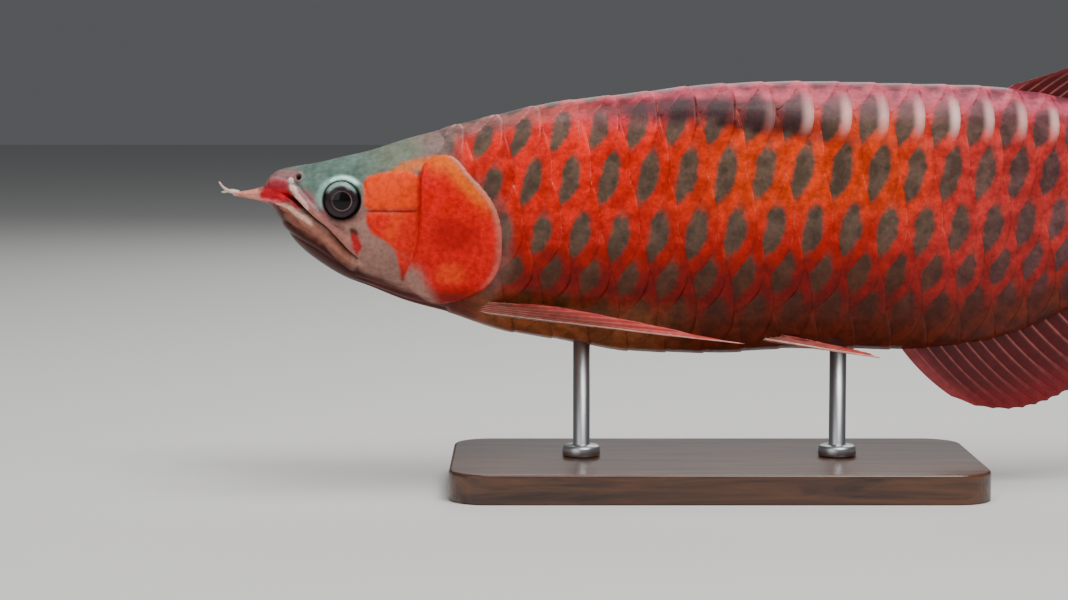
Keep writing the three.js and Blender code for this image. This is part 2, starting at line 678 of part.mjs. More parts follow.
function addNode(name, solid, colour, roughness, metalness = 0) {
  const { vertProperties, triVerts } = solid.getMesh();
  const positions = new Float32Array(vertProperties);
  for (let i = 0; i < positions.length; i += 3) {
    const past = Math.max(0, positions[i] - SWAY_START_X) / (BODY_LENGTH - SWAY_START_X);
    positions[i] -= BASE_MIDDLE_X;
    positions[i + 1] += TAIL_SWAY * past * past;
    positions[i + 2] += FISH_LIFT;
  }
  const geometry = new THREE.BufferGeometry();
  geometry.setAttribute('position', new THREE.BufferAttribute(positions, 3));
  geometry.setIndex([...triVerts]);
  geometry.computeVertexNormals();
  const material = new THREE.MeshStandardMaterial({ color: colour, roughness, metalness });
  const mesh = new THREE.Mesh(geometry, material);
  mesh.name = name;
  group.add(mesh);
}

addNode('head', head, COLOURS.skin, 0.35);
addNode('lower_jaw', lowerJaw, COLOURS.skin, 0.35);
addNode('torso', torso, COLOURS.scale, 0.3);
addNode('tail', tail, COLOURS.scale, 0.3);
const medianFin = (rays, root) => offBody(finSolid(rays, rayed(root), MEDIAN_NORMAL));
addNode('dorsal_fin', medianFin(dorsalRays, RAY_ROOT.median), COLOURS.fin, 0.4);
addNode('anal_fin', medianFin(analRays, RAY_ROOT.median), COLOURS.fin, 0.4);
addNode('caudal_fin', medianFin(caudalRays, RAY_ROOT.caudal), COLOURS.fin, 0.4);
for (const [word, side] of [['left', -1], ['right', 1]]) {
  addNode(`gill_cover_${word}`, gillCover(side), COLOURS.gill, 0.25);
  addNode(`eye_${word}`, eyeSolid(side, 0), COLOURS.eye, 0.1);
  const pectoral = finSolid(pairedRays(side, PECTORAL), rayed(RAY_ROOT.pectoral), pairedNormal(side));
  addNode(`pectoral_fin_${word}`, offBody(pectoral), COLOURS.fin, 0.4);
  const pelvic = finSolid(pairedRays(side, PELVIC), rayed(RAY_ROOT.pelvic), pairedNormal(side));
  addNode(`pelvic_fin_${word}`, offBody(pelvic), COLOURS.fin, 0.4);
  addNode(`barbel_${word}`, offBody(barbelSolid(side)), COLOURS.barbel, 0.5);
}
addNode('stand_base', baseSolid(), COLOURS.wood, 0.5);
ROD_X.forEach((x, i) => {
  addNode(`stand_rod_${['front', 'rear'][i]}`, offBody(rodSolid(x)), COLOURS.steel, 0.3, 1);
});

export default group;
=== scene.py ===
import math

import bmesh
import bpy
import numpy as np
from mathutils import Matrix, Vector, noise


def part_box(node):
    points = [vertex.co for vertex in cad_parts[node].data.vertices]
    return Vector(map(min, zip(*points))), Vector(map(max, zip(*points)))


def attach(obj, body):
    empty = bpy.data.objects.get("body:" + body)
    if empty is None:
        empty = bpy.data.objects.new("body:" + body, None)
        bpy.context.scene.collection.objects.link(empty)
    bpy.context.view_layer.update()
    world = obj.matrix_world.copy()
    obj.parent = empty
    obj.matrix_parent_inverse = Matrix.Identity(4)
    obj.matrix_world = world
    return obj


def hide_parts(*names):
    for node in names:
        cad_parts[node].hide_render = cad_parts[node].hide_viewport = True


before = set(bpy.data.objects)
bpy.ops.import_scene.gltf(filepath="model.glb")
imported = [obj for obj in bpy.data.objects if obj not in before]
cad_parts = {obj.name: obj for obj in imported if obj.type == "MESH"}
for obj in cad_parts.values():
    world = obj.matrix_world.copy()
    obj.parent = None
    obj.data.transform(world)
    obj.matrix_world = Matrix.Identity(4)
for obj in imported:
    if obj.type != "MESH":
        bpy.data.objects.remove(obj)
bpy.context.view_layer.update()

bl_info = {
    "name": "Asian arowana",
    "version": (1, 0, 0),
    "blender": (4, 5, 0),
    "location": "3D View > Sidebar > Arowana",
    "description": "A life-size red Asian arowana on a display stand",
    "category": "Add Mesh",
}

# The fish is drawn straight, in millimetres: X back from the tip of the lower jaw and Z up
# from its level. placed() sways the tail and sets it over the stand, in metres.
MM = 0.001
BODY_LENGTH = 502
SWAY_START_X = 330
TAIL_SWAY = 14
BASE_MIDDLE_X = 228
FISH_LIFT = 130

# x, top, bottom, half width
SECTIONS = np.array([
    [0, 9.5, 8.3, 0.8],
    [3, 10, 7.6, 6],
    [8, 10.8, 6.7, 9.4],
    [14.5, 12.9, 5.2, 12],
    [18.4, 17.9, 3.1, 13.2],
    [22, 20.3, -2.6, 14],
    [30, 22.2, -14, 15.8],
    [39, 23.6, -21.8, 17.8],
    [53, 26.8, -30.4, 20],
    [64, 29.3, -34.6, 21.4],
    [82, 35, -41.8, 22.8],
    [102, 40.2, -47.4, 23.6],
    [128, 46.6, -55.3, 24.6],
    [152, 51.7, -59.2, 25.8],
    [190, 56.1, -65.2, 26.6],
    [227, 60.2, -66, 26.4],
    [267, 61.5, -63.8, 25.4],
    [317, 60.4, -64.3, 22.6],
    [352, 59.4, -61, 19.6],
    [378, 56.5, -54, 17],
    [392, 54, -47.2, 15.6],
    [430, 43, -31, 12],
    [462, 31.5, -18, 9.4],
    [484, 29.5, -15.4, 7.4],
    [502, 30, -16, 4.4],
])
WIDEST_AT = 0.6  # share of the height
CROWN = 2.5  # powers that shape the back and the belly of a section
KEEL_FALL = 1.9
KEEL_EDGE = 1.7

# Rows of scales from the back to the belly, and the pitch along them
ROW_GIRTHS = [0, 0.17, 0.345, 0.54, 0.685, 0.82, 1]
PLATES_IN_ROW = 25
ROW_LAG = 0.25  # each row starts this much further back, in pitches
SCALES_FROM_X = 106
SCALE_PITCH = 18
EVEN_SCALES = 9  # past these the pitch grows shorter
PITCH_LOSS = 0.2
TUCK_DEPTH = 2.6  # of the first scales under the gill cover
PATCH_MARGIN, PATCH_SHARE = 0.08, 0.84  # a scale's patch in its cell of the unwrap

EYE_X, EYE_Z = 53.1, 6.7
EYE_RADIUS, EYE_DEPTH, EYE_SINK = 9.0, 5.2, 2.2
IRIS_RADIUS = 8.3
EYE_RINGS, EYE_SPOKES = 40, 64
LID_RADIUS, LID_HEIGHT, SOCKET_DEPTH = 9.7, 1.15, 5
GAPE_DEPTH, LIP_SHELF, CHEEK_HEIGHT, NOSTRIL_DEPTH = 2.2, 0.55, 0.45, 2.6
GAPE = [(14.6, 13), (28.3, 8.4), (38.8, -1.2), (46, -6.9), (53.1, -15.5), (59.3, -21)]
UPPER_LIP = [(20, 15.2), (28.3, 13), (36.4, 4.5), (43.6, -2.1), (53.1, -10.7), (60, -19)]
LOWER_LIP = [(20, 7.6), (28.3, 4.6), (37, -5), (44.5, -11), (51, -18.6), (57, -24.4)]
NOSTRIL = (32.4, 17.2)
FRONT_NOSTRIL = (28.6, 15.8)
UPPER_CHEEK = [(64.5, 17), (76, 20), (87.5, 19), (88, 10), (87.5, 3), (76, 2.6), (65, 3.2), (63.8, 10)]
LOWER_CHEEK = [(65, 0.8), (76, 1), (87.4, 1), (87, -8), (84.6, -19), (79, -17), (73, -12), (66.5, -7.5)]
CHEEK_POINT = [(75, -9), (88, -6), (87, -17), (83.8, -25), (80.4, -31.5), (79.4, -25), (77.8, -17)]
DENTARY = [(25, -5.5), (34, -10.5), (42, -15), (50, -20.5), (58, -26)]
GILL_COVER = [
    (90.5, 22), (98, 27.5), (106, 26.5), (114.4, 17), (121.5, 9), (126.2, 0), (127.8, -12),
    (126, -26), (118, -36), (104, -41.5), (92, -41), (82.5, -31), (88, -14), (89.6, 4),
]


def through_points(xs, ys):
    """A smooth curve through points that never overshoots them."""
    xs, ys = np.asarray(xs, float), np.asarray(ys, float)
    slopes = np.diff(ys) / np.diff(xs)
    before, after = slopes[:-1], slopes[1:]
    total = np.where(before + after == 0, 1, before + after)
    inner = np.where(before * after > 0, 2 * before * after / total, 0)
    tangents = np.concatenate([slopes[:1], inner, slopes[-1:]])

    def value(x):
        x = np.asarray(x, float)
        i = np.clip(np.searchsorted(xs, x) - 1, 0, len(xs) - 2)
        span = xs[i + 1] - xs[i]
        t = np.clip((x - xs[i]) / span, 0, 1)
        rise = t * t * (3 - 2 * t)
        bend = tangents[i] * t * (1 - t) ** 2 - tangents[i + 1] * t * t * (1 - t)
        return ys[i] + (ys[i + 1] - ys[i]) * rise + span * bend

    return value


top_of, bottom_of, half_width_of = (through_points(SECTIONS[:, 0], SECTIONS[:, k]) for k in (1, 2, 3))


def scale_x(scale):
    """Place along the fish of a scale's number in its row."""
    past = np.maximum(0, np.asarray(scale, float) - EVEN_SCALES)
    return SCALES_FROM_X + SCALE_PITCH * np.asarray(scale, float) - PITCH_LOSS * past * past


def section_points(x, girths, grow=0.0):
    """Points (across, height) of the section at x; girth runs from 0 on the back to 1 on the belly."""
    top, bottom, width = top_of(x) + grow, bottom_of(x) - grow, half_width_of(x) + grow
    widest = bottom + (top - bottom) * WIDEST_AT
    angle = np.linspace(0, math.pi, 181)
    upper = angle < math.pi / 2
    sine = np.clip(np.sin(angle), 0, 1)
    across = width * np.where(upper, sine, sine ** (2 / KEEL_EDGE))
    cosine = np.abs(np.cos(angle))
    height = np.where(upper, widest + (top - widest) * cosine ** (2 / CROWN),
                      widest - (widest - bottom) * cosine ** (2 / KEEL_FALL))
    across[0] = across[-1] = 0
    length = np.concatenate([[0], np.cumsum(np.hypot(np.diff(across), np.diff(height)))])
    wanted = np.abs(girths) * length[-1]
    side = np.where(np.asarray(girths) < 0, -1, 1)
    return side * np.interp(wanted, length, across), np.interp(wanted, length, height)


def half_width_at(x, z):
    """Half the body's width at a place on its side."""
    top, bottom, width = top_of(x), bottom_of(x), half_width_of(x)
    widest = bottom + (top - bottom) * WIDEST_AT
    upper = z > widest
    share = np.clip(np.where(upper, (z - widest) / (top - widest), (widest - z) / (widest - bottom)), 0, 1)
    power = np.where(upper, CROWN, KEEL_FALL)
    return width * (1 - share ** power) ** (1 / np.where(upper, 2, KEEL_EDGE))


def sway_at(x):
    """How far the tail is swayed to the right, in millimetres."""
    past = np.maximum(0, x - SWAY_START_X) / (BODY_LENGTH - SWAY_START_X)
    return TAIL_SWAY * past * past


def placed(points):
    """Straight fish points in millimetres to the model's place in metres."""
    points = np.array(points, float)
    points[..., 1] += sway_at(points[..., 0])
    points[..., 0] -= BASE_MIDDLE_X
    points[..., 2] += FISH_LIFT
    return points * MM


def unplaced(points):
    """The model's place in metres back to straight fish points."""
    points = np.array(points, float) / MM
    points[..., 0] += BASE_MIDDLE_X
    points[..., 2] -= FISH_LIFT
    points[..., 1] -= sway_at(points[..., 0])
    return points


def smooth(value, low, high):
    """Rises softly from 0 at low to 1 at high."""
    t = np.clip((value - low) / (high - low), 0, 1)
    return t * t * (3 - 2 * t)


def fading(value, low, high):
    """Falls softly from 1 at low to 0 at high."""
    return 1 - smooth(value, low, high)


def window(value, low, rise_end, fall_start, high):
    """1 between the two middle values and 0 outside the outer ones."""
    return smooth(value, low, rise_end) * fading(value, fall_start, high)


def bump_at(distance, width):
    """A soft bump, 1 at no distance."""
    return np.exp(-(distance / width) ** 2)


def rounded(points, closed, count=60):
    """Points of a smooth curve through the given ones."""
    pts = np.array(points, float)
    n = len(pts)
    out = []
    spans = n if closed else n - 1
    for t in np.linspace(0, spans, count, endpoint=not closed):
        i = min(int(t), spans - 1)
        f = t - i
        if closed:
            p = [pts[(i + k) % n] for k in (-1, 0, 1, 2)]
        else:
            p = [pts[min(max(i + k, 0), n - 1)] for k in (-1, 0, 1, 2)]
        out.append(0.5 * (2 * p[1] + (p[2] - p[0]) * f + (2 * p[0] - 5 * p[1] + 4 * p[2] - p[3]) * f * f
                          + (3 * p[1] - p[0] - 3 * p[2] + p[3]) * f ** 3))
    return np.array(out)


def distance_to(path, x, z, closed=False):
    """Distance from the points to a path seen from the side, and the share of the path there."""
    best = np.full(np.shape(x), 1e9)
    share = np.zeros(np.shape(x))
    count = len(path) if closed else len(path) - 1
    for i in range(count):
        a, b = path[i], path[(i + 1) % len(path)]
        run = b - a
        t = np.clip(((x - a[0]) * run[0] + (z - a[1]) * run[1]) / (run @ run), 0, 1)
        d = np.hypot(x - a[0] - t * run[0], z - a[1] - t * run[1])
        share = np.where(d < best, (i + t) / count, share)
        best = np.minimum(best, d)
    return best, share


def inside_depth(outline, x, z):
    """Distance in from the edge of an outline, negative outside it."""
    d, _ = distance_to(outline, x, z, closed=True)
    inside = np.zeros(np.shape(x), bool)
    for i in range(len(outline)):
        a, b = outline[i], outline[(i + 1) % len(outline)]
        crosses = (a[1] > z) != (b[1] > z)
        rise = b[1] - a[1] if b[1] != a[1] else 1e-9
        inside ^= crosses & (x < (b[0] - a[0]) * (z - a[1]) / rise + a[0])
    return np.where(inside, d, -d)


# Lines on the head, seen from the side
PATHS = {
    "gape": rounded(GAPE, False),
    "upper_lip": rounded(UPPER_LIP, False),
    "lower_lip": rounded(LOWER_LIP, False),
    "upper_cheek": rounded(UPPER_CHEEK, True),
    "lower_cheek": rounded(LOWER_CHEEK, True),
    "gill": rounded(GILL_COVER, True, 90),
    "cheek_point": rounded(CHEEK_POINT, True),
    "dentary": rounded(DENTARY, False),
}
GAPE_X, GAPE_Z = PATHS["gape"].T

# Marks on the head, seen from the side: path, half width and softness in millimetres, colour, strength
HEAD_MARKS = {
    "dusky muzzle": ([(16, 16), (24, 16.5), (31, 17.5)], 2.6, 3.4, "#A0686A", 0.8),
    "pink before the eye": ([(34, 9.5), (39, 4.5), (45, -1)], 2.2, 3.4, "#B4606A", 0.65),
    "flesh under the eye": ([(46, -4), (52, -6.5)], 1.4, 3.0, "#8E5A5A", 0.6),
    "jaw side": (
        [(27, -0.5), (34, -5), (42, -10), (50, -15.8), (57, -22)], 2.2, 1.6, "#8C5444", 0.95),
    "lower lip": (
        [(24, 3.6), (30, 0.6), (38, -4.8), (46, -11), (52, -17), (57, -22)], 1.1, 1.0, "#B07260", 0.9),
    "bright lower lip": (
        [(22.5, 4.9), (26.8, 4.1), (30.5, 1.9), (34.5, -0.7), (39, -4.2)], 0.75, 0.8, "#F6BCA8", 0.95),
    "upper jaw bone": (
        [(36, 4), (41, -1), (46, -4.8), (51, -9.2), (55.2, -13.5), (57.6, -19.5)], 1.2, 1.2, "#B87468", 0.9),
    # painted highlight along the ridge of the upper jaw bone
    "upper jaw bone highlight": ([(28.8, 13.4), (31.2, 10.6), (34, 6.8), (37, 3.2)], 0.9, 0.8, "#FCC4B2", 0.95),
    "salmon tip": ([(1, 9.3), (8, 8.8), (13.5, 8.8)], 2.4, 1.2, "#EC9480", 0.95),
    "red upper lip": ([(17, 12.8), (21.5, 13.6), (26.5, 13.2)], 1.5, 2.0, "#A81430", 0.85),
    "mouth red": ([(15.5, 8.8), (20, 9.8), (25, 9.4), (28.5, 8)], 2.3, 1.3, "#CC0A22", 1.0),
    "mouth red behind": ([(27, 8), (30, 6.2), (33, 3.6)], 0.8, 1.0, "#8E0C14", 0.9),
    "pink lip line": ([(14, 6.4), (18, 6.5), (24, 6.2)], 0.55, 0.6, "#FF5468", 0.85),
    "red under the tip": ([(2.5, 7.9), (8, 6.7), (13, 5.4), (17, 4.9)], 0.7, 0.8, "#A40A18", 0.95),
    "dark chin": ([(18, 3.6), (20.5, -0.5), (24, -5)], 1.0, 1.4, "#5A0C0A", 0.9),
    "dark behind the mouth": ([(57.4, -7.4), (59.6, -8.6)], 0.9, 1.2, "#460A0A", 0.9),
    "red behind the mouth": ([(57.8, -10), (59.8, -13.5), (59.8, -17)], 1.4, 1.1, "#C4161A", 0.95),
    "pale mouth corner": ([(57.5, -20.5), (61, -24)], 1.0, 1.4, "#C48C7C", 0.8),
    "red between the cheeks": ([(64.5, 1.9), (87.5, 1.9)], 0.35, 0.5, "#8E0A04", 0.9),
    "red before the gill cover": (
        [(88.4, 17.5), (88.8, 8), (88.4, -6), (86.4, -17)], 1.7, 0.8, "#D02008", 0.95),
    "dark before the gill cover": ([(89, 20), (89.4, 8), (88.6, -8), (85, -24)], 0.5, 0.9, "#8A1206", 0.75),
    "orange over the gill cover": (
        [(78, 20.6), (88, 23.6), (98, 25), (103, 24)], 1.6, 2.2, "#F2701A", 0.75),
    "red nape scale": ([(103, 36), (104.5, 30)], 1.6, 2.4, "#D8382A", 0.7),
    # painted shade under the throat
    "throat shade": ([(66, -33), (80, -40.5), (96, -44.5), (108, -46)], 2.6, 2.4, "#4E1408", 0.9),
}


def linear(hex_colour):
    """sRGB hex to linear colour."""
    value = hex_colour.lstrip("#")
    parts = [int(value[i:i + 2], 16) / 255 for i in (0, 2, 4)]
    return [p / 12.92 if p <= 0.04045 else ((p + 0.055) / 1.055) ** 2.4 for p in parts]


def add_node(tree, kind, settings=None, **inputs):
    """Add a node; inputs take a value or the socket to link from."""
    node = tree.nodes.new(kind)
    for key, value in (settings or {}).items():
        setattr(node, key, value)
    for key, value in inputs.items():
        name = key.replace("_", " ")
        index = int(name[1:]) if name[0] == "i" and name[1:].isdigit() else None
        socket = node.inputs[index] if index is not None else next(
            s for s in node.inputs if s.name.lower() == name.lower() and s.enabled)
        if isinstance(value, bpy.types.NodeSocket):
            tree.links.new(value, socket)
        else:
            socket.default_value = value
    return node


def math_node(tree, operation, *values):
    """A math node's result; each value is a number or the socket to link from."""
    inputs = {f"i{k}": value for k, value in enumerate(values)}
    return add_node(tree, "ShaderNodeMath", {"operation": operation}, **inputs).outputs[0]


def product(tree, first, *others):
    """Values multiplied together."""
    for other in others:
        first = math_node(tree, "MULTIPLY", first, other)
    return first


def ramped(tree, value, stops):
    """Colours along a value; each stop is a place and sRGB hex."""
    node = add_node(tree, "ShaderNodeValToRGB", Fac=value)
    elements = node.color_ramp.elements
    for place, _ in stops[2:]:
        elements.new(place)
    for element, (place, shade) in zip(elements, stops):
        element.position = place
        element.color = (*linear(shade), 1)
    return node.outputs[0]


def remap(tree, value, start, end, to_start=0.0, to_end=1.0, soft=False):
    """A value carried from one range to another, eased at both ends if soft."""
    kind = {"interpolation_type": "SMOOTHSTEP" if soft else "LINEAR"}
    return add_node(tree, "ShaderNodeMapRange", kind, Value=value, From_Min=start, From_Max=end,
                    To_Min=to_start, To_Max=to_end).outputs[0]


def mixed(tree, amount, first, second):
    """The second colour over the first; each is sRGB hex or the socket to link from."""
    first, second = ((*linear(c), 1) if isinstance(c, str) else c for c in (first, second))
    return add_node(tree, "ShaderNodeMix", {"data_type": "RGBA"}, i0=amount, i6=first, i7=second).outputs[2]


def shaded(tree, tone, factor):
    """A colour made darker or lighter."""
    scaled = add_node(tree, "ShaderNodeVectorMath", {"operation": "SCALE"}, Vector=tone, Scale=factor)
    return scaled.outputs[0]


def noisy(tree, place, scale, detail, roughness=0.5):
    """Noise by place; scale is how many of its coarsest cells go in one unit of place."""
    return add_node(tree, "ShaderNodeTexNoise", Vector=place, Scale=scale, Detail=detail,
                    Roughness=roughness).outputs[0]


def raised(tree, height, strength, distance, over=None):
    """A bump of some height in metres, over another one if given."""
    below = {} if over is None else {"Normal": over}
    return add_node(tree, "ShaderNodeBump", Strength=strength, Distance=distance, Height=height,
                    **below).outputs[0]


def stretched(tree, place, scale):
    """A place scaled along each axis, so that a texture runs finer there."""
    return add_node(tree, "ShaderNodeMapping", Vector=place, Scale=scale).outputs[0]


def new_material(name):
    """A material with its tree cleared, and the place on the object for its textures."""
    material = bpy.data.materials.new(name)
    material.use_nodes = True
    tree = material.node_tree
    tree.nodes.clear()
    return material, tree, add_node(tree, "ShaderNodeTexCoord").outputs["Object"]


def finish_shader(tree, **inputs):
    """Add the surface shader and link it to the material's output."""
    shader = add_node(tree, "ShaderNodeBsdfPrincipled", **inputs)
    output = add_node(tree, "ShaderNodeOutputMaterial")
    tree.links.new(shader.outputs["BSDF"], output.inputs["Surface"])


def ring_faces(rings, spokes):
    """The faces between closed rings of points."""
    return [(i * spokes + k, i * spokes + (k + 1) % spokes, (i + 1) * spokes + (k + 1) % spokes,
             (i + 1) * spokes + k) for i in range(rings - 1) for k in range(spokes)]


def end_faces(rings, spokes):
    """One face over the first ring and one over the last."""
    last = (rings - 1) * spokes
    return [tuple(range(spokes)), tuple(range(last, last + spokes))]


def around(spokes):
    """The angles of the points round a ring."""
    return [2 * math.pi * k / spokes for k in range(spokes)]


def mesh_object(name, points, faces, material, smooth_faces=True):
    """A mesh from points in metres, linked to the scene."""
    mesh = bpy.data.meshes.new(name)
    mesh.from_pydata([tuple(p) for p in points], [], [tuple(int(i) for i in f) for f in faces])
    mesh.materials.append(material)
    if smooth_faces:
        mesh.polygons.foreach_set("use_smooth", [True] * len(mesh.polygons))
    mesh.update()
    return link_object(name, mesh)


def link_object(name, mesh):
    piece = bpy.data.objects.new(name, mesh)
    bpy.context.scene.collection.objects.link(piece)
    return piece


def outward(piece):
    """Make the faces of a closed piece point out."""
    shape = bmesh.new()
    shape.from_mesh(piece.data)
    bmesh.ops.remove_doubles(shape, verts=shape.verts, dist=1e-7)
    bmesh.ops.recalc_face_normals(shape, faces=shape.faces)
    shape.to_mesh(piece.data)
    shape.free()
    piece.data.update()


def add_uv(piece, name, point_uv):
    """A UV map that gives each corner the pair kept for its vertex."""
    layer = piece.data.uv_layers.new(name=name)
    index = np.empty(len(piece.data.loops), dtype=np.int32)
    piece.data.loops.foreach_get("vertex_index", index)
    layer.data.foreach_set("uv", np.asarray(point_uv, dtype=np.float32)[index].ravel())


def add_colour(piece, name, colours):
    layer = piece.data.attributes.new(name, "FLOAT_COLOR", "POINT")
    values = np.concatenate([colours, np.ones((len(colours), 1))], axis=1)
    layer.data.foreach_set("color", values.astype(np.float32).ravel())


def add_value(piece, name, values):
    layer = piece.data.attributes.new(name, "FLOAT", "POINT")
    layer.data.foreach_set("value", np.asarray(values, dtype=np.float32))


def attribute(tree, name, output="Fac"):
    """What the mesh holds under a name, as a value or a colour."""
    return add_node(tree, "ShaderNodeAttribute", {"attribute_name": name}).outputs[output]


def points_of(piece):
    values = np.empty(len(piece.data.vertices) * 3)
    piece.data.vertices.foreach_get("co", values)
    return values.reshape(-1, 3)


def tint(shade):
    """A colour from the name of its property or its sRGB hex, or a colour as it is."""
    if not isinstance(shade, str):
        return shade
    if not shade.startswith("#"):
        shade = getattr(bpy.context.scene.arowana_colours, shade)
    return np.array(linear(shade))


def mix(first, second, amount):
    """The second colour over the first at each point."""
    amount = np.asarray(amount)[..., None]
    return tint(first) * (1 - amount) + tint(second) * amount


def layered(base, *layers):
    """Colours laid over the base in order, each with its amount."""
    for shade, amount in layers:
        base = mix(base, shade, amount)
    return base


def finish_piece(piece, slot_name, *nodes):
    """Attach the piece to the root body and hide the model's parts that it stands for; slot_name is not used.
    """
    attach(piece, "root")
    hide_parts(*nodes)


def shade_property(name, description, default):
    return bpy.props.StringProperty(name=name, description="sRGB of " + description, default=default)


class ArowanaColours(bpy.types.PropertyGroup):
    rim: shade_property("Scale rim", "the rims, shoulder", "#F81C04")
    # painted shade: the low rims are darkened as if in shadow
    rim_low: shade_property("Low rim", "the rims, belly", "#8A0C06")
    rim_mid: shade_property("Middle rim", "the rims, flank", "#FA4E08")
    rim_tail: shade_property("Tail rim", "the rims, tail", "#D83C38")
    # painted sheen: the pink of light reflected along the top of the back
    rim_back: shade_property("Back rim", "the rims, back", "#C8506A")
    # painted shadow: the dark band across the upper flank
    band_back: shade_property("Back band", "the band beside the back", "#30030A")
    core: shade_property("Scale core", "the cores", "#6E5748")
    # the low cores: partly the belly's own browner colour, partly painted shade
    core_low: shade_property("Low core", "the cores, belly", "#5E3320")
    core_tail: shade_property("Tail core", "the cores, tail", "#70484C")
    # painted highlight: pale glints along the scales' rear edges
    scale_edge_highlight: shade_property("Scale edge", "the pale rear edges", "#FF8068")
    # painted highlight: the pale glints on the top row's rims
    glint: shade_property("Glint", "the top row's pale rims", "#FFDDD4")
    head_top: shade_property("Head top", "the skull", "#5F756B")
    flesh: shade_property("Flesh", "bare skin", "#A87A6E")
    nape: shade_property("Nape", "the nape", "#866E68")
    cheek: shade_property("Cheek", "the upper cheek", "#FF4600")
    cheek_low: shade_property("Low cheek", "the lower cheek", "#F01C02")
    gill: shade_property("Gill cover", "the gill cover", "#E60200")
    gill_gold: shade_property("Gill gold", "the gill cover's upper edge", "#F4660E")
    gill_rim: shade_property("Gill rim", "the gill cover's soft rim", "#CC8474")
    gill_low: shade_property("Gill foot", "the gill cover's lower edge", "#6E1206")
    # painted shade: the dark skin under the jaw and throat
    jaw_under: shade_property("Under jaw", "the skin under the jaw", "#3E0E05")
    belly: shade_property("Belly", "the belly", "#A05A34")
    # painted shade: the belly past the pelvic fins darkened as if in shadow
    belly_rear: shade_property("Rear belly", "the belly past the pelvic fins", "#6A2814")
    # painted highlight: the mint reflection on the lid over the eye
    mint: shade_property("Mint", "the lid over the eye", "#CCFFF0")
    fin: shade_property("Fin", "the membrane of the median fins", "#520409")
    fin_ray: shade_property("Fin ray", "the rays of the median fins", "#B4625C")
    fin_edge: shade_property("Fin edge", "the median fins' leading edges", "#A03C40")
    fin_tip: shade_property("Fin tip", "the median fins' margins", "#7E0812")
    paired: shade_property("Paired fin", "the paired fins", "#9C4238")
    paired_ray: shade_property("Paired ray", "the rays of the paired fins", "#CC8878")
    paired_edge: shade_property("Paired edge", "the edge of the paired fins", "#FFC0B0")
    paired_tip: shade_property("Paired tip", "the tips of the paired fins", "#C8302C")


class ArowanaSizes(bpy.types.PropertyGroup):
    plate_thickness: bpy.props.FloatProperty(
        name="Plate thickness", description="Thickness of one scale", default=0.28 * MM, unit="LENGTH")
    plate_rise: bpy.props.FloatProperty(
        name="Plate rise", description="Height of a scale's rear edge over the skin", default=0.9 * MM,
        unit="LENGTH")
    skin_inset: bpy.props.FloatProperty(
        name="Skin inset", description="Depth of the skin under the scales", default=0.15 * MM, unit="LENGTH")
    camera_distance: bpy.props.FloatProperty(
        name="Camera distance", description="From the fish's flank", default=1.2, unit="LENGTH")
    camera_elevation: bpy.props.FloatProperty(
        name="Camera elevation", description="Angle down to the fish", default=math.radians(5),
        subtype="ANGLE")


def lips_relief(x, z, side, masks):
    """The groove of the mouth, the lips over and under it and the ridge along the jaw."""
    rise = -GAPE_DEPTH * bump_at(masks["gape"], 0.65) * side * (0.15 + 0.85 * smooth(x, 22, 30))
    above = z > np.interp(x, GAPE_X, GAPE_Z)
    for lip, height, width, edge, groove, rear, where in (
            ("upper", 0.8, 1.7, (1.6, 2.2), (0.55, 2.9, 0.6), 62, above),
            ("lower", 0.9, 2.0, (1.7, 2.4), (0.5, 3.1, 0.7), 60, ~above & (x > 20))):
        away, ends = masks[lip], masks[lip + "_ends"]
        roll = height * bump_at(away, width) + LIP_SHELF * fading(away, *edge)
        rise += roll * ends * side * (above if lip == "upper" else ~above)
        depth, distance, groove_width = groove
        rise -= depth * bump_at(away - distance, groove_width) * where * (x < rear) * side
    dentary, _ = distance_to(PATHS["dentary"], x, z)
    return rise + 0.45 * bump_at(dentary, 1.5) * side - 0.4 * bump_at(dentary - 2.2, 0.6) * side * (x < 66)


def eye_relief(masks):
    """The lid round the eye with its socket, and both nostrils."""
    eye, hole, front = masks["eye"], masks["hole"], masks["front_hole"]
    rise = LID_HEIGHT * bump_at(eye - LID_RADIUS, 1.25) - 0.45 * bump_at(eye - LID_RADIUS - 2.6, 0.9)
    rise -= SOCKET_DEPTH * fading(eye, 7.6, 8.7)
    rise += 0.75 * bump_at(hole - 1.7, 0.6) - NOSTRIL_DEPTH * fading(hole, 0.7, 1.3)
    return rise + 2.0 * fading(front, 0.5, 1.3) - 1.4 * fading(front, 0.1, 0.45)


def plates_relief(x, z, masks):
    """The cheek plates and the crowned gill cover with its free rear edge."""
    rise = np.zeros(np.shape(x))
    for plate in (masks["cheek"], masks["cheek_low"]):
        rise += CHEEK_HEIGHT * smooth(plate, -0.3, 1.4) - 0.25 * bump_at(plate + 0.5, 0.5)
    gill = masks["gill"]
    crown = 1 - np.clip(np.hypot((x - 106) / 22, (z + 8) / 34), 0, 1) ** 2
    free = smooth(x + 0.5 * z, 66, 82)
    rise += smooth(gill, -0.2, 0.8) * (0.35 + 1.05 * free + 0.8 * crown)
    rise -= 0.5 * bump_at(gill + 0.8, 0.6) * free * (x < 92)
    rise -= 0.35 * bump_at(gill - 3.0, 0.5) * (x > 100)
    # faint ridges fan out over the gill cover from its upper front corner
    fan = np.arctan2(z - 16, x - 88)
    return rise + 0.10 * np.sin(fan * 46 + 0.6 * ripple(x, z, 0.4)) * smooth(gill, 2, 6)


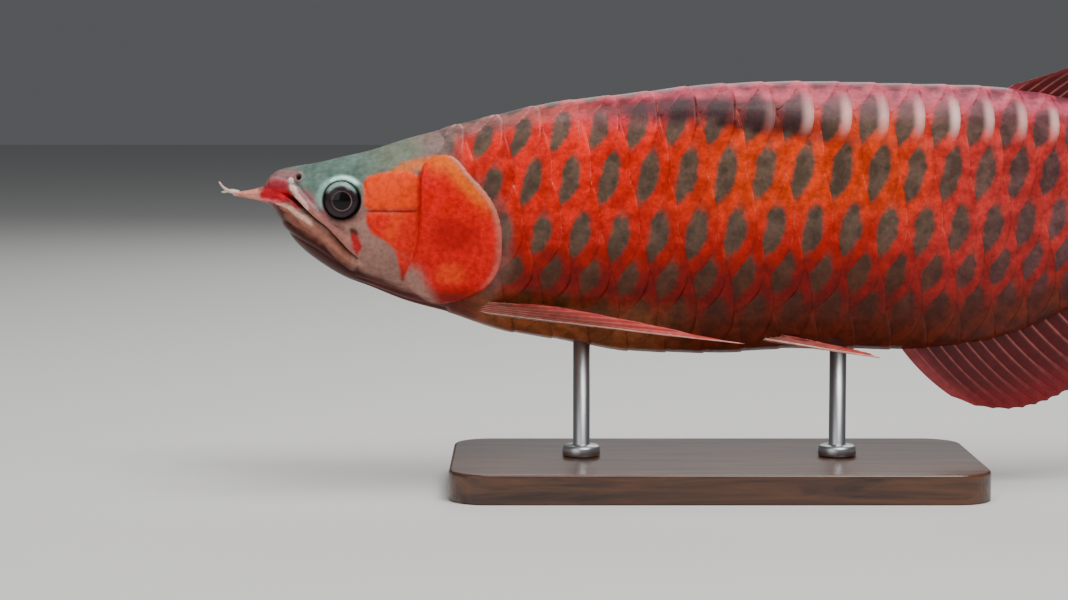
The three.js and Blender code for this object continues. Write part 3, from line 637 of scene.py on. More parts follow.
def head_relief(x, z, side_girth):
    """Height of the head's forms over the plain body, in millimetres, and masks for its colours."""
    masks = {"gape": distance_to(PATHS["gape"], x, z)[0]}
    for lip, blunt in (("upper", 0.03), ("lower", 0.05)):
        masks[lip], share = distance_to(PATHS[lip + "_lip"], x, z)
        masks[lip + "_ends"] = np.sin(math.pi * np.clip(share, blunt, 1 - blunt)) ** 0.5
    for key, middle in (("eye", (EYE_X, EYE_Z)), ("hole", NOSTRIL), ("front_hole", FRONT_NOSTRIL)):
        masks[key] = np.hypot(x - middle[0], z - middle[1])
    for key, path in (("gill", "gill"), ("cheek", "upper_cheek"), ("cheek_low", "lower_cheek")):
        masks[key] = inside_depth(PATHS[path], x, z)
    side = smooth(side_girth, 0.06, 0.2)
    return lips_relief(x, z, side, masks) + eye_relief(masks) + plates_relief(x, z, masks), masks


def throat_folds(x, z, girth):
    """The skin rays under the throat."""
    where = window(x, 52, 64, 100, 112) * smooth(girth, 0.74, 0.82)
    return -0.45 * where * (0.5 + 0.5 * np.cos((girth - 0.5) * 130 + x * 0.05)) ** 3


def ripple(x, z, pitch):
    """A smooth wandering value from -1 to 1; pitch sets how fast it changes."""
    return (np.sin(x * pitch * 2.1 + 1.7 * np.sin(z * pitch * 1.3))
            + np.sin(z * pitch * 2.7 + 1.3 * np.sin(x * pitch))) / 2


# Numbers in the painting functions are places and widths in millimetres on the straight fish
def skull_colours(x, z, girth, below_gape, throat, masks):
    """The grey-green skull, the bare skin under it and the dark painted shade under the jaw."""
    # painted shade along the underside of the head and over the throat
    under = smooth(girth, 0.64, 0.8) * fading(x, 48, 60) + throat * smooth(x, 48, 60)
    base = layered(
        tint("head_top"), ("flesh", smooth(-z + 0.28 * x, 2, 20)),
        ("nape", smooth(x + 0.5 * z, 96, 112) * smooth(z, 12, 24)),
        (tint("flesh") * 0.8, smooth(x, 20, 34) * smooth(-z, 14, 24)),
        ("#A8605A", below_gape * fading(x, 30, 38) * smooth(x, 8, 14)),
        ("jaw_under", under * fading(x, 98, 112)),
        ("jaw_under", below_gape * smooth(masks["gape"], 4.2, 7.4) * window(x, 19, 24, 54, 62)))
    skull = smooth(z + 0.1 * x, 14, 20) * window(x, 22, 34, 92, 104)
    cloudy = 0.16 * ripple(x, z + 14 * girth, 0.28) + 0.1 * ripple(x, z + 30 * girth, 0.8)
    return mix(base * (1 + skull * cloudy)[..., None], "#8E8468", skull * window(x, 56, 76, 84, 96) * 0.35)


def marked(base, x, z, side):
    """The marks of HEAD_MARKS, each with a wandering edge."""
    wander = ripple(x, z, 0.55) + 0.5 * ripple(x, z, 1.4)
    for path, half_width, soft, shade, strength in HEAD_MARKS.values():
        away, share = distance_to(rounded(path, False, 24), x, z)
        away = away + wander * 0.3 + 0.5 * half_width * fading(np.sin(math.pi * share), 0, 0.55)
        # the tip of the snout is painted right over the top as well
        amount = fading(away, half_width - 0.25 * soft, half_width + 1.1 * soft) * strength
        base = mix(base, shade, amount * np.where(x < 22, 1, side))
    return base


def eye_surround(base, x, z, side, masks):
    """The mint lid over and before the eye, a painted highlight, the socket's painted shade and the nostrils.
    """
    eye = masks["eye"]
    turn = np.degrees(np.arctan2(z - EYE_Z, x - EYE_X))
    # painted highlight: a mint reflection over the eye and, fainter, before it
    over = bump_at(eye - 10.2, 1.35) * window(turn, 36, 58, 112, 134)
    before = bump_at(eye - 10.8, 1.7) * window(np.mod(turn, 360), 118, 136, 186, 214)
    return layered(
        base, ("mint", np.clip(over * 1.3, 0, 1) * side), (tint("mint") * 0.75, before * 0.72),
        # painted shade in the socket round the eye, deeper below it, and in the rear nostril
        ("#1E1210", fading(eye, 8.9, 9.7) * 0.95),
        ("#2E0E0C", fading(eye, 9.4, 11.4) * smooth(-z + EYE_Z, 4, 8) * 0.75),
        ("#2E2622", fading(masks["hole"], 0.9, 1.6)),
        ("#E4D8CC", fading(masks["front_hole"], 0.9, 1.8) * 0.85))


def cheek_colours(base, x, z, side, masks):
    """The two orange-red cheek plates with the seam between them and the point below."""
    low = masks["cheek_low"]
    cheeks = np.maximum(smooth(masks["cheek"], -1.2, 0.9), smooth(low, -1.2, 0.9))
    streak = smooth(low, 0, 2) * bump_at(x - 76 - 0.5 * (z + 8), 3.5)
    shade = layered(mix("cheek", "cheek_low", smooth(-z, -6, 3)), ("cheek", streak * 0.8),
                    (tint("cheek_low") * 0.85, smooth(x - 0.3 * z, 78, 88) * 0.6))
    seam = bump_at(z - 1.9, 0.55) * window(x, 64, 66, 87, 88.5)
    point = inside_depth(PATHS["cheek_point"], x, z) + 0.3 * ripple(x, z, 0.5)
    point = smooth(point, -0.9, 0.9) * (1 - cheeks) * side
    return layered(base, (mix("cheek_low", "#8E1204", smooth(-z, 20, 31)), point * 0.95), (shade, cheeks),
                   ("#9A1404", seam * 0.85))


def gill_colours(base, x, z, throat, masks):
    """The red gill cover: golden above, orange low down, with a soft rim and a dark foot."""
    depth = masks["gill"]
    gill = smooth(depth, -0.6, 0.5)
    gold = smooth(z + 0.9 * (x - 92), 18, 32) * smooth(z, -6, 12) * fading(depth, 5, 12)
    low_patch = fading(np.hypot((x - 103.5) / 8, (z + 27) / 6), 0.4, 1.2)
    dark_patch = fading(np.hypot((x - 106) / 12, (z + 9) / 8), 0.5, 1.2)
    rim = smooth(x - 0.15 * z, 97, 103) * fading(depth, 1.0, 3.0 + 1.6 * smooth(-z, -8, 6))
    rim = rim * smooth(z, -40, -26) * (1 - 0.35 * smooth(-z, -6, 8))
    layers = (("gill", 1.0), ("gill_gold", gold), ("cheek", low_patch * 0.8),
              (tint("gill") * 0.6, dark_patch * 0.75), ("gill_rim", rim * 0.85),
              ("gill_low", smooth(-z, 31, 38.5) * smooth(x, 84, 92) * 0.85),
              ("flesh", fading(x + 0.4 * z, 75, 84) * smooth(-z, 19, 28)),
              # the throat's painted shade reaches over the foot of the gill cover
              ("jaw_under", throat * fading(x, 90, 104) * 0.85))
    return layered(base, *((shade, gill * amount) for shade, amount in layers))


def head_colours(x, z, girth, masks):
    """Colour of the bare skin, painted from the photo's marks by place on the head."""
    side = smooth(girth, 0.02, 0.1)
    below_gape = (z < np.interp(x, GAPE_X, GAPE_Z)) & (x < 64)
    # the throat's dark painted shade starts along a line from the corner of the mouth to the gill cover's
    # foot
    throat = smooth(-24 - 0.45 * (x - 57) - z + 0.8 * ripple(x, z, 0.3), -2.5, 4)
    base = marked(skull_colours(x, z, girth, below_gape, throat, masks), x, z, side)
    base = eye_surround(base, x, z, side, masks)
    # painted shade darkens the crease of the mouth, faint at the front
    mouth_crease_shade = fading(masks["gape"], 0.35, 0.95) * (0.1 + 0.9 * smooth(x, 24, 31)) * (x < 60)
    base = cheek_colours(mix(base, "#2A0806", mouth_crease_shade), x, z, side, masks)
    return gill_colours(base, x, z, throat, masks)


# A painted shadow, a dark band beside the back that slants down across the upper flank: its place along the
# fish, its height and half width as shares of the depth
SHADOW_BAND_X = [150, 161, 201, 240, 265, 300]
SHADOW_BAND_HEIGHT = [0.975, 0.965, 0.932, 0.885, 0.86, 0.78]
SHADOW_BAND_HALF = [0.01, 0.014, 0.03, 0.055, 0.05, 0.035]


def body_colours(x, z):
    """Rim and core colours of the coat at a place, also painted on the skin under it."""
    height = np.clip((z - bottom_of(x)) / (top_of(x) - bottom_of(x)), 0, 1)
    orange = window(x, 185, 245, 300, 345) * smooth(height, 0.42, 0.6)
    # painted sheen: reflected light turns the top of the back pink
    painted_sheen_top = smooth(height, 0.84, 0.95) * smooth(x, 130, 210)
    behind_nape = smooth(height, 0.9, 0.97) * fading(x, 120, 190) * 0.85
    half = np.interp(x, SHADOW_BAND_X, SHADOW_BAND_HALF)
    from_shadow_band = np.abs(height - np.interp(x, SHADOW_BAND_X, SHADOW_BAND_HEIGHT)) + 0.012 * ripple(x, z, 0.3)
    # the painted shadow, soft-edged, on rims and cores alike
    shadow_band = fading(from_shadow_band, 0.75 * half, 1.5 * half) * window(x, 150, 192, 258, 300)
    # soft brown skin shows through the first scales behind the gill cover
    beside = fading(-inside_depth(PATHS["gill"], x, z), 2.0, 7.0) * window(z, -44, -36, 12, 22) * (x < 150)
    bare = fading(x + 0.12 * z, 105, 116) * smooth(z, 16, 24) * 0.9
    # the belly's own tan, darkened towards the rear by painted shade
    tan_and_shade = mix("belly", "belly_rear", smooth(x, 185, 225))
    belly = fading(height, 0.1, 0.24) * 0.9
    breast = fading(x, 108, 124) * fading(height, 0.16, 0.3) * 0.85
    # the rims darken towards the belly with painted shade
    rim = layered(
        mix("rim_low", "rim", smooth(height, 0.24, 0.56)),
        ("rim_tail", smooth(x, 280, 360) * (0.4 + 0.5 * smooth(height, 0.2, 0.5))),
        ("rim_mid", orange * 0.65), ("rim_back", painted_sheen_top * 0.85), ("nape", behind_nape),
        ("band_back", shadow_band * 0.85), (tint("flesh") * 0.62, beside * 0.75), ("nape", bare), (tan_and_shade, belly),
        (tint("gill_low") * 0.7, breast))
    # the cores darken towards the belly with painted shade
    core = layered(
        mix("core_low", "core", smooth(height, 0.24, 0.52)), ("core_tail", smooth(x, 300, 400) * 0.75),
        (tint("rim_back") * 0.5, painted_sheen_top * 0.75), (tint("nape") * 0.55, behind_nape),
        ("band_back", shadow_band * 0.9), (tint("flesh") * 0.5, beside * 0.6), ("nape", bare), (tan_and_shade * 0.82, belly),
        (tint("gill_low") * 0.6, breast))
    return rim, core


# The clear slime over skin and scales
SLIME = {"Specular_IOR_Level": 0.13, "Coat_Weight": 0.08, "Coat_Roughness": 0.12}


def skin_material():
    """Wet fish skin over bone: a thin clear slime coat over mottled flesh."""
    material, tree, place = new_material("Wet fish skin")
    # mottling a few millimetres across, and pores under a millimetre apart
    mottle = noisy(tree, place, 420.0, 5.0, 0.6)
    pores = add_node(tree, "ShaderNodeTexVoronoi", Vector=place, Scale=1500.0).outputs["Distance"]
    tone = shaded(tree, attribute(tree, "markings", "Color"), remap(tree, mottle, 0.3, 0.7, 0.72, 1.22))
    relief = raised(tree, pores, 0.18, 0.0002, raised(tree, mottle, 0.25, 0.0004))
    finish_shader(tree, Base_Color=tone, Roughness=remap(tree, mottle, 0.0, 1.0, 0.34, 0.5), Normal=relief,
                  **SLIME)
    return material


SNOUT_X = [0, 0.15, 0.5, 1, 1.7, 2.6, 3.6]
MOUTH_STEP, CHEEK_STEP, BODY_STEP = 0.45, 0.75, 3.2  # between the skin's rings
SKIN_HALF = 116  # points of a ring on one side
TAIL_EDGE = 0.6  # the last ring but one lies this far from the end


def skin_grid(inset):
    """Rings of points along the plain body, closest together over the mouth."""
    columns = np.concatenate([SNOUT_X, np.arange(4.4, 66, MOUTH_STEP), np.arange(66.3, 132, CHEEK_STEP),
                              np.arange(133, BODY_LENGTH - 1, BODY_STEP),
                              [BODY_LENGTH - TAIL_EDGE, BODY_LENGTH]])
    one_side = np.linspace(0, 1, SKIN_HALF + 1)
    girths = np.concatenate([-one_side[:0:-1], one_side[:-1]])
    rings = []
    for x in columns:
        across, height = section_points(x, girths, -inset * float(smooth(x, 104, 118)))
        rings.append(np.stack([np.full(len(girths), x), across, height], axis=1))
    return columns, girths, np.array(rings)


def grid_normals(grid, middle):
    """The direction out of the grid at each point, away from the middle of its ring."""
    normal = np.cross(np.gradient(grid, axis=0), np.roll(grid, -1, axis=1) - np.roll(grid, 1, axis=1))
    normal /= np.linalg.norm(normal, axis=2, keepdims=True) + 1e-9
    facing = np.sign(((grid - middle[:, None, :]) * normal).sum(axis=2, keepdims=True))
    return normal * np.where(facing == 0, 1, facing)


class AROWANA_OT_skin(bpy.types.Operator):
    """Make the one skin that covers the head, gill covers, torso and tail"""
    bl_idname = "arowana.skin"
    bl_label = "Skin"

    def execute(self, context):
        columns, girths, grid = skin_grid(context.scene.arowana_sizes.skin_inset / MM)
        level = (top_of(columns) + bottom_of(columns)) / 2
        middle = np.stack([columns, np.zeros(len(columns)), level], axis=1)
        girth = np.broadcast_to(np.abs(girths), grid.shape[:2])
        x, z = grid[..., 0], grid[..., 2]
        rise, masks = head_relief(x, z, girth)
        rise = (rise * fading(x, 129, 132) + throat_folds(x, z, girth)) * smooth(x, 0, 4)
        rim, core = body_colours(x, z)
        under_coat = smooth(x + 14 * smooth(z, 10, 40), 118, 126) * fading(masks["gill"], -1.2, -0.4)
        # past the last scales the skin is as red as their rims
        past_coat = smooth(x, 474, 486) * smooth(z, -14, -6)
        colours = layered(head_colours(x, z, girth, masks), (core * 0.7, under_coat), (rim * 0.7, past_coat))
        colours = colours.reshape(-1, 3)
        n, m = grid.shape[:2]
        moved = grid + grid_normals(grid, middle) * rise[..., None]
        points = np.concatenate([moved.reshape(-1, 3), middle[[0, -1]]])
        faces = ring_faces(n, m)
        for j in range(m):
            k = (j + 1) % m
            faces += [(n * m, k, j), (n * m + 1, (n - 1) * m + j, (n - 1) * m + k)]
        piece = mesh_object("skin", placed(points), faces, skin_material())
        # the unwrap opens along the belly: length against girth
        uv = np.stack([np.repeat(columns / BODY_LENGTH, m), np.tile((girths + 1) / 2, n)], axis=1)
        add_uv(piece, "OFBake", np.concatenate([0.01 + 0.98 * uv, [[0.004, 0.5], [0.996, 0.5]]]))
        carry_past_edge(piece.data.uv_layers["OFBake"], piece.data.polygons)
        add_colour(piece, "markings", np.concatenate([colours, colours[:1], colours[-1:]]))
        finish_piece(piece, "skin", "head", "lower_jaw", "torso", "tail", "gill_cover_left",
                     "gill_cover_right")
        turn_out(piece)
        return {"FINISHED"}


def carry_past_edge(layer, polygons):
    """Carry the faces that close the round past the map's edge."""
    for face in polygons:
        heights = [layer.data[i].uv[1] for i in face.loop_indices]
        if max(heights) - min(heights) > 0.6:
            for i in face.loop_indices:
                if layer.data[i].uv[1] < 0.5:
                    layer.data[i].uv[1] = 0.995


def turn_out(piece):
    """Turn all faces over if they point in."""
    shape = bmesh.new()
    shape.from_mesh(piece.data)
    if shape.calc_volume(signed=True) < 0:
        bmesh.ops.reverse_faces(shape, faces=shape.faces)
        shape.to_mesh(piece.data)
    shape.free()
    piece.data.update()


def scale_material():
    """Thin bony scales under slime: a bright pigmented rim round a dark see-through core."""
    material, tree, place = new_material("Wet bony fish scale")
    look = bpy.context.scene.arowana_colours
    # x runs across the scale, y from its rear edge forward, one pitch to a unit
    uv = add_node(tree, "ShaderNodeUVMap", {"uv_map": "scale_uv"}).outputs[0]
    parts = add_node(tree, "ShaderNodeSeparateXYZ", Vector=uv).outputs
    sideways, ahead = parts["X"], parts["Y"]
    seed = attribute(tree, "seed")
    rim, core = attribute(tree, "rim_colour", "Color"), attribute(tree, "core_colour", "Color")
    # pigment grain about two millimetres across, in soft patches of several
    grain = noisy(tree, place, 520.0, 6.0, 0.65)
    blotch = noisy(tree, place, 150.0, 3.0)

    def away(value, middle, half, power):
        value = math_node(tree, "DIVIDE", math_node(tree, "SUBTRACT", value, middle), half)
        return math_node(tree, "POWER", math_node(tree, "ABSOLUTE", value), power)

    # the core is a leaning oval with a ragged edge
    leaning = math_node(tree, "MULTIPLY_ADD", sideways, 0.17, ahead)
    oval = math_node(tree, "ADD", away(leaning, 0.51, 0.25, 2.1), away(sideways, -0.08, 0.46, 2.2))
    ragged = math_node(tree, "MULTIPLY_ADD", grain, 0.5, math_node(tree, "MULTIPLY_ADD", blotch, 1.5, -1.0))
    reach = math_node(tree, "MULTIPLY_ADD", oval, attribute(tree, "core_spread"), ragged)
    in_core = remap(tree, reach, 0.55, 1.3, 1.0, 0.0, soft=True)
    # a soft faded ring lies between the core and the bright rim
    ringed = mixed(tree, remap(tree, reach, 0.9, 2.1, 0.34, 0.0, soft=True), rim, core)
    body = mixed(tree, in_core, ringed, core)
    # painted highlight along the rear edges, fading out towards the belly
    edge = product(tree, remap(tree, ahead, 0.0, 0.06, 0.4, 0.0, soft=True), remap(tree, blotch, 0.4, 0.62),
                   attribute(tree, "edge_light"))
    pale = mixed(tree, edge, body, look.scale_edge_highlight)
    # pigment lies thicker in the patches, and a little differently on each scale
    shade = product(tree, remap(tree, grain, 0.3, 0.7, 0.7, 1.15), remap(tree, blotch, 0.38, 0.62, 0.62, 1.0),
                    remap(tree, seed, 0.0, 1.0, 0.86, 1.12))
    # painted highlight: wet light caught by the rims of the top row, laid in as a pale colour
    central = remap(tree, math_node(tree, "ABSOLUTE", sideways), 0.3, 0.6, 1.0, 0.0, soft=True)
    painted_glint_amount = product(tree, remap(tree, ahead, 0.14, 0.38, 0.85, 0.0, soft=True), central,
                     attribute(tree, "glint"), remap(tree, seed, 0.25, 0.75, 0.6, 1.0))
    lit = mixed(tree, painted_glint_amount, shaded(tree, pale, shade), look.glint)
    # growth rings about half a millimetre apart, parallel to the rear edge
    rings = math_node(tree, "SINE", product(tree, ahead, 170.0))
    relief = raised(tree, grain, 0.3, 0.0003, raised(tree, rings, 0.10, 0.0001))
    finish_shader(tree, Base_Color=lit, Roughness=remap(tree, in_core, 0.0, 1.0, 0.42, 0.36), Normal=relief,
                  **SLIME)
    return material


PLATE_LENGTH = 1.75  # in scale pitches
PLATE_ACROSS, PLATE_ALONG = 16, 14  # faces of a scale
EDGE_POWER = 2.1  # how square the rear edge of a scale is
PLATE_HALF = 0.97  # of the space between rows
CROWDING = 0.8  # below 1 the points of a scale crowd towards its margin
SPREAD_OVER = 1.04  # a scale reaches this much further than the space between rows


def plate_object(thickness, rise, sweeps):
    """One scale in plan: x back to its rear edge in pitches, y across in row spacings, z in metres.

    sweeps holds how far forward the rear edge runs, in pitches, on the side of negative y and of positive y.
    """
    shape = bmesh.new()
    layers = {}
    for face, drop in (("top", 0.0), ("under", thickness)):
        for i in range(PLATE_ACROSS + 1):
            y = -1 + 2 * i / PLATE_ACROSS
            y = math.copysign(abs(y) ** CROWDING, y) * PLATE_HALF
            edge = -sweeps[y > 0] * abs(y) ** EDGE_POWER
            root = -PLATE_LENGTH + 0.35 * y * y
            for j in range(PLATE_ALONG + 1):
                t = (j / PLATE_ALONG) ** CROWDING
                x = root + (edge - root) * t
                lift = rise * (0.06 + 0.94 * (x + PLATE_LENGTH) / PLATE_LENGTH - 0.18 * abs(y) ** 3)
                roundness = thickness * 0.35 * (t > 0.96) * (1 if face == "top" else -1)
                layers[face, i, j] = shape.verts.new((x, y, lift - drop - roundness))
    uv = shape.loops.layers.uv.new("scale_uv")
    quads = []
    for i in range(PLATE_ACROSS):
        for j in range(PLATE_ALONG):
            for face in ("top", "under"):
                corners = [layers[face, *c] for c in ((i, j), (i, j + 1), (i + 1, j + 1), (i + 1, j))]
                quads.append(corners if face == "top" else corners[::-1])
    for a, b in border_edges(PLATE_ACROSS, PLATE_ALONG):
        quads.append([layers["top", *b], layers["under", *b], layers["under", *a], layers["top", *a]])
    for corners in quads:
        made = shape.faces.new(corners)
        made.smooth = True
        for loop in made.loops:
            x, y, _ = loop.vert.co
            loop[uv].uv = (y, -x - sweeps[y > 0] * abs(y) ** EDGE_POWER)
    bmesh.ops.recalc_face_normals(shape, faces=shape.faces)
    mesh = bpy.data.meshes.new("plate plan")
    shape.to_mesh(mesh)
    shape.free()
    return link_object("plate plan", mesh)


def border_edges(columns, rows):
    """The edges round a grid, as pairs of its corners' numbers."""
    border = [(i, 0) for i in range(columns)] + [(columns, j) for j in range(rows)]
    border += [(i, rows) for i in range(columns, 0, -1)] + [(0, j) for j in range(rows, 0, -1)]
    return list(zip(border, border[1:] + border[:1]))


GUIDE_FIRST, GUIDE_LAST, GUIDE_GIRTH = -4.0, 26.0, 1.3  # reach of the guide, past the ends of the rows
GUIDE_RINGS, GUIDE_POINTS = 241, 157


def guide_object():
    """The coat's surface, with a UV of scale count against girth."""
    scales = np.linspace(GUIDE_FIRST, GUIDE_LAST, GUIDE_RINGS)
    girths = np.linspace(-GUIDE_GIRTH, GUIDE_GIRTH, GUIDE_POINTS)
    wrapped = np.where(np.abs(girths) > 1, np.sign(girths) * (np.abs(girths) - 2), girths)
    rings = []
    for scale in scales:
        x = float(scale_x(scale))
        across, height = section_points(min(x, BODY_LENGTH + 2), wrapped)
        rings.append(np.stack([np.full(len(girths), x), across, height], axis=1))
    n, m = len(scales), len(girths)
    faces = [(i * m + j, (i + 1) * m + j, (i + 1) * m + j + 1, i * m + j + 1)
             for i in range(n - 1) for j in range(m - 1)]
    piece = mesh_object("coat guide", placed(np.array(rings).reshape(-1, 3)), faces, None)
    u = np.repeat((scales - GUIDE_FIRST) / (GUIDE_LAST - GUIDE_FIRST), m)
    v = np.tile((girths + GUIDE_GIRTH) / (2 * GUIDE_GIRTH), n)
    add_uv(piece, "coat_uv", np.stack([u, v], axis=1))
    return piece


def coat_tree(material):
    """Set a plate on each point of the plan, then wrap the plates round the guide."""
    tree = bpy.data.node_groups.new("Scale coat", "GeometryNodeTree")
    for name, kind, way in (("Geometry", "Geometry", "INPUT"), ("Plate", "Object", "INPUT"),
                            ("Guide", "Object", "INPUT"), ("Geometry", "Geometry", "OUTPUT")):
        tree.interface.new_socket(name, in_out=way, socket_type="NodeSocket" + kind)
    given = add_node(tree, "NodeGroupInput").outputs
    result = add_node(tree, "NodeGroupOutput")
    plate, guide = (add_node(tree, "GeometryNodeObjectInfo", Object=given[name]).outputs["Geometry"]
                    for name in ("Plate", "Guide"))
    spread, coat_uv = (add_node(tree, "GeometryNodeInputNamedAttribute", {"data_type": "FLOAT_VECTOR"},
                                Name=name).outputs["Attribute"] for name in ("spread", "coat_uv"))
    plates = add_node(tree, "GeometryNodeInstanceOnPoints", Points=given["Geometry"], Instance=plate,
                      Scale=spread)
    real = add_node(tree, "GeometryNodeRealizeInstances", Geometry=plates.outputs[0])
    where = add_node(tree, "GeometryNodeInputPosition").outputs[0]
    normal = add_node(tree, "GeometryNodeInputNormal").outputs[0]
    parts = add_node(tree, "ShaderNodeSeparateXYZ", Vector=where).outputs
    u, v = (add_node(tree, "ShaderNodeMapRange", {"clamp": False}, Value=parts[axis], From_Min=low,
                     From_Max=high).outputs[0]
            for axis, low, high in (("X", GUIDE_FIRST, GUIDE_LAST), ("Y", -GUIDE_GIRTH, GUIDE_GIRTH)))
    sample_uv = add_node(tree, "ShaderNodeCombineXYZ", X=u, Y=v).outputs[0]

    def on_guide(field):
        """A field of the guide's surface at the place of each point of the plates."""
        node = add_node(tree, "GeometryNodeSampleUVSurface", {"data_type": "FLOAT_VECTOR"}, Mesh=guide,
                        Value=field, Sample_UV=sample_uv)
        uv_socket = next(s for s in node.inputs if s.name in ("UV Map", "Source UV Map"))
        tree.links.new(coat_uv, uv_socket)
        return node.outputs[0]

    lifted = shaded(tree, on_guide(normal), parts["Z"])
    final = add_node(tree, "ShaderNodeVectorMath", {"operation": "ADD"}, i0=on_guide(where), i1=lifted)
    wrapped = add_node(tree, "GeometryNodeSetPosition", Geometry=real.outputs[0], Position=final.outputs[0])
    dressed = add_node(tree, "GeometryNodeSetMaterial", Geometry=wrapped.outputs[0], Material=material)
    tree.links.new(dressed.outputs[0], result.inputs[0])
    return tree


def coat_plan(rows):
    """A point for each scale: place in scale counts and girth, spread, seed, row and number."""
    points, spreads, seeds, cells = [], [], [], []
    for row in rows:
        index, side = abs(row), (-1 if row < 0 else 1)
        girth = ROW_GIRTHS[index]
        gaps = [abs(ROW_GIRTHS[k] - girth) for k in (index - 1, index + 1) if 0 <= k < len(ROW_GIRTHS)]
        spread = sum(gaps) / len(gaps) * SPREAD_OVER
        for number in range(PLATES_IN_ROW):
            points.append((ROW_LAG * index + number, side * girth, 0))
            # on the flanks the swept half of a scale faces the belly
            spreads.append((1, -side * spread, 0.95 if index == 0 else 1))
            seeds.append(noise.noise(Vector((number * 3.7, row * 5.3, 1.9))) * 0.8 + 0.5)
            cells.append((row, number))
    return points, spreads, seeds, cells


def make_coat(name, rows, plate, guide, material):
    """One piece of the coat, with the modifier applied."""
    points, spreads, seeds, cells = coat_plan(rows)
    plan = mesh_object(name + " plan", points, [], material)
    layer = plan.data.attributes.new("spread", "FLOAT_VECTOR", "POINT")
    layer.data.foreach_set("vector", np.array(spreads, np.float32).ravel())
    add_value(plan, "seed", seeds)
    add_value(plan, "plate_index", range(len(points)))
    tree = coat_tree(material)
    modifier = plan.modifiers.new("coat", "NODES")
    modifier.node_group = tree
    given = {"Plate": plate, "Guide": guide}
    for item in tree.interface.items_tree:
        if item.in_out == "INPUT" and item.name in given:
            modifier[item.identifier] = given[item.name]
    evaluated = plan.evaluated_get(bpy.context.evaluated_depsgraph_get())
    mesh = bpy.data.meshes.new_from_object(evaluated)
    mesh.name = name
    plan.modifiers.remove(modifier)
    bpy.data.objects.remove(plan)
    piece = link_object(name, mesh)
    finish_coat_mesh(piece, cells)
    return piece


def tucked(straight):
    """Sink the fronts of the first scales under the gill cover and the bare nape."""
    x, z = straight[:, 0], straight[:, 2]
    covered = smooth(inside_depth(PATHS["gill"], x, z), 0.3, 4.5)
    fore = fading(x + 2 * np.sin(0.5 * z), 88, 104)
    depth = TUCK_DEPTH * np.maximum(covered, fore)
    middle = top_of(x) * 0.55 + bottom_of(x) * 0.45
    inward = np.stack([np.zeros(len(x)), -straight[:, 1], middle - z], axis=1)
    inward /= np.linalg.norm(inward, axis=1, keepdims=True) + 1e-9
    return straight + inward * depth[:, None]


def finish_coat_mesh(piece, cells):
    """Tuck the coat's front in, and give its points and faces what the scale material reads."""
    mesh = piece.data
    if len(mesh.vertices) == 0:
        raise RuntimeError(f"{piece.name}: the coat came out empty")
    straight = tucked(unplaced(points_of(piece)))
    mesh.vertices.foreach_set("co", placed(straight).ravel())
    x, z = straight[:, 0], straight[:, 2]
    rim, core = body_colours(x, z)
    add_colour(piece, "rim_colour", rim)
    add_colour(piece, "core_colour", core)
    height = (z - bottom_of(x)) / (top_of(x) - bottom_of(x))
    # the cores are smallest behind the head
    add_value(piece, "core_spread", np.interp(x, [110, 210, 300], [1.3, 0.92, 0.85]))
    # the painted edge highlights fade out low on the flank
    add_value(piece, "edge_light", smooth(height, 0.26, 0.5))
    # painted highlights lie on the top row, past the painted shadow band
    add_value(piece, "glint", bump_at(height - 0.885, 0.06) * window(x, 235, 300, 430, 470))
    index = np.empty(len(mesh.vertices), np.float32)
    mesh.attributes["plate_index"].data.foreach_get("value", index)
    cell = np.array(cells)[np.round(index).astype(int)]
    loops = np.empty(len(mesh.loops), np.int32)
    mesh.loops.foreach_get("vertex_index", loops)
    source = mesh.uv_layers.get("scale_uv") or mesh.attributes["scale_uv"]
    plan_uv = np.empty(len(mesh.loops) * 2, np.float32)
    source.data.foreach_get("uv" if hasattr(source.data[0], "uv") else "vector", plan_uv)
    plan_uv = plan_uv.reshape(-1, 2)
    # each scale's patch lies at its own place on the body's unwrap, length against girth
    across = (plan_uv[:, 0] + 1) / 2
    along = np.clip(plan_uv[:, 1] / (PLATE_LENGTH + 0.1), 0, 1)
    row, number = cell[loops].T
    u = (number + PATCH_MARGIN + PATCH_SHARE * (1 - along)) / PLATES_IN_ROW
    v = (row + len(ROW_GIRTHS) - 1 + PATCH_MARGIN + PATCH_SHARE * across) / (2 * len(ROW_GIRTHS))
    layer = mesh.uv_layers.new(name="OFBake")
    layer.data.foreach_set("uv", np.stack([u, v], axis=1).astype(np.float32).ravel())
    turn_out(piece)


class AROWANA_OT_scales(bpy.types.Operator):
    """Lay the coat of large scales over the skin"""
    bl_idname = "arowana.scales"
    bl_label = "Scales"

    def execute(self, context):
        sizes = context.scene.arowana_sizes
        material = scale_material()
        guide = guide_object()
        last = len(ROW_GIRTHS) - 1
        down, up = 1 - ROW_LAG, ROW_LAG
        for name, rows, sweeps in (("scales_left", range(-last + 1, 0), (down, up)),
                                   ("scales_right", range(1, last), (down, up)),
                                   ("scales_back", (0,), (down, down)), ("scales_belly", (last,), (up, up))):
            plate = plate_object(sizes.plate_thickness, sizes.plate_rise, sweeps)
            piece = make_coat(name, rows, plate, guide, material)
            bpy.data.objects.remove(plate)
            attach(piece, "root")
        bpy.data.objects.remove(guide)
        return {"FINISHED"}


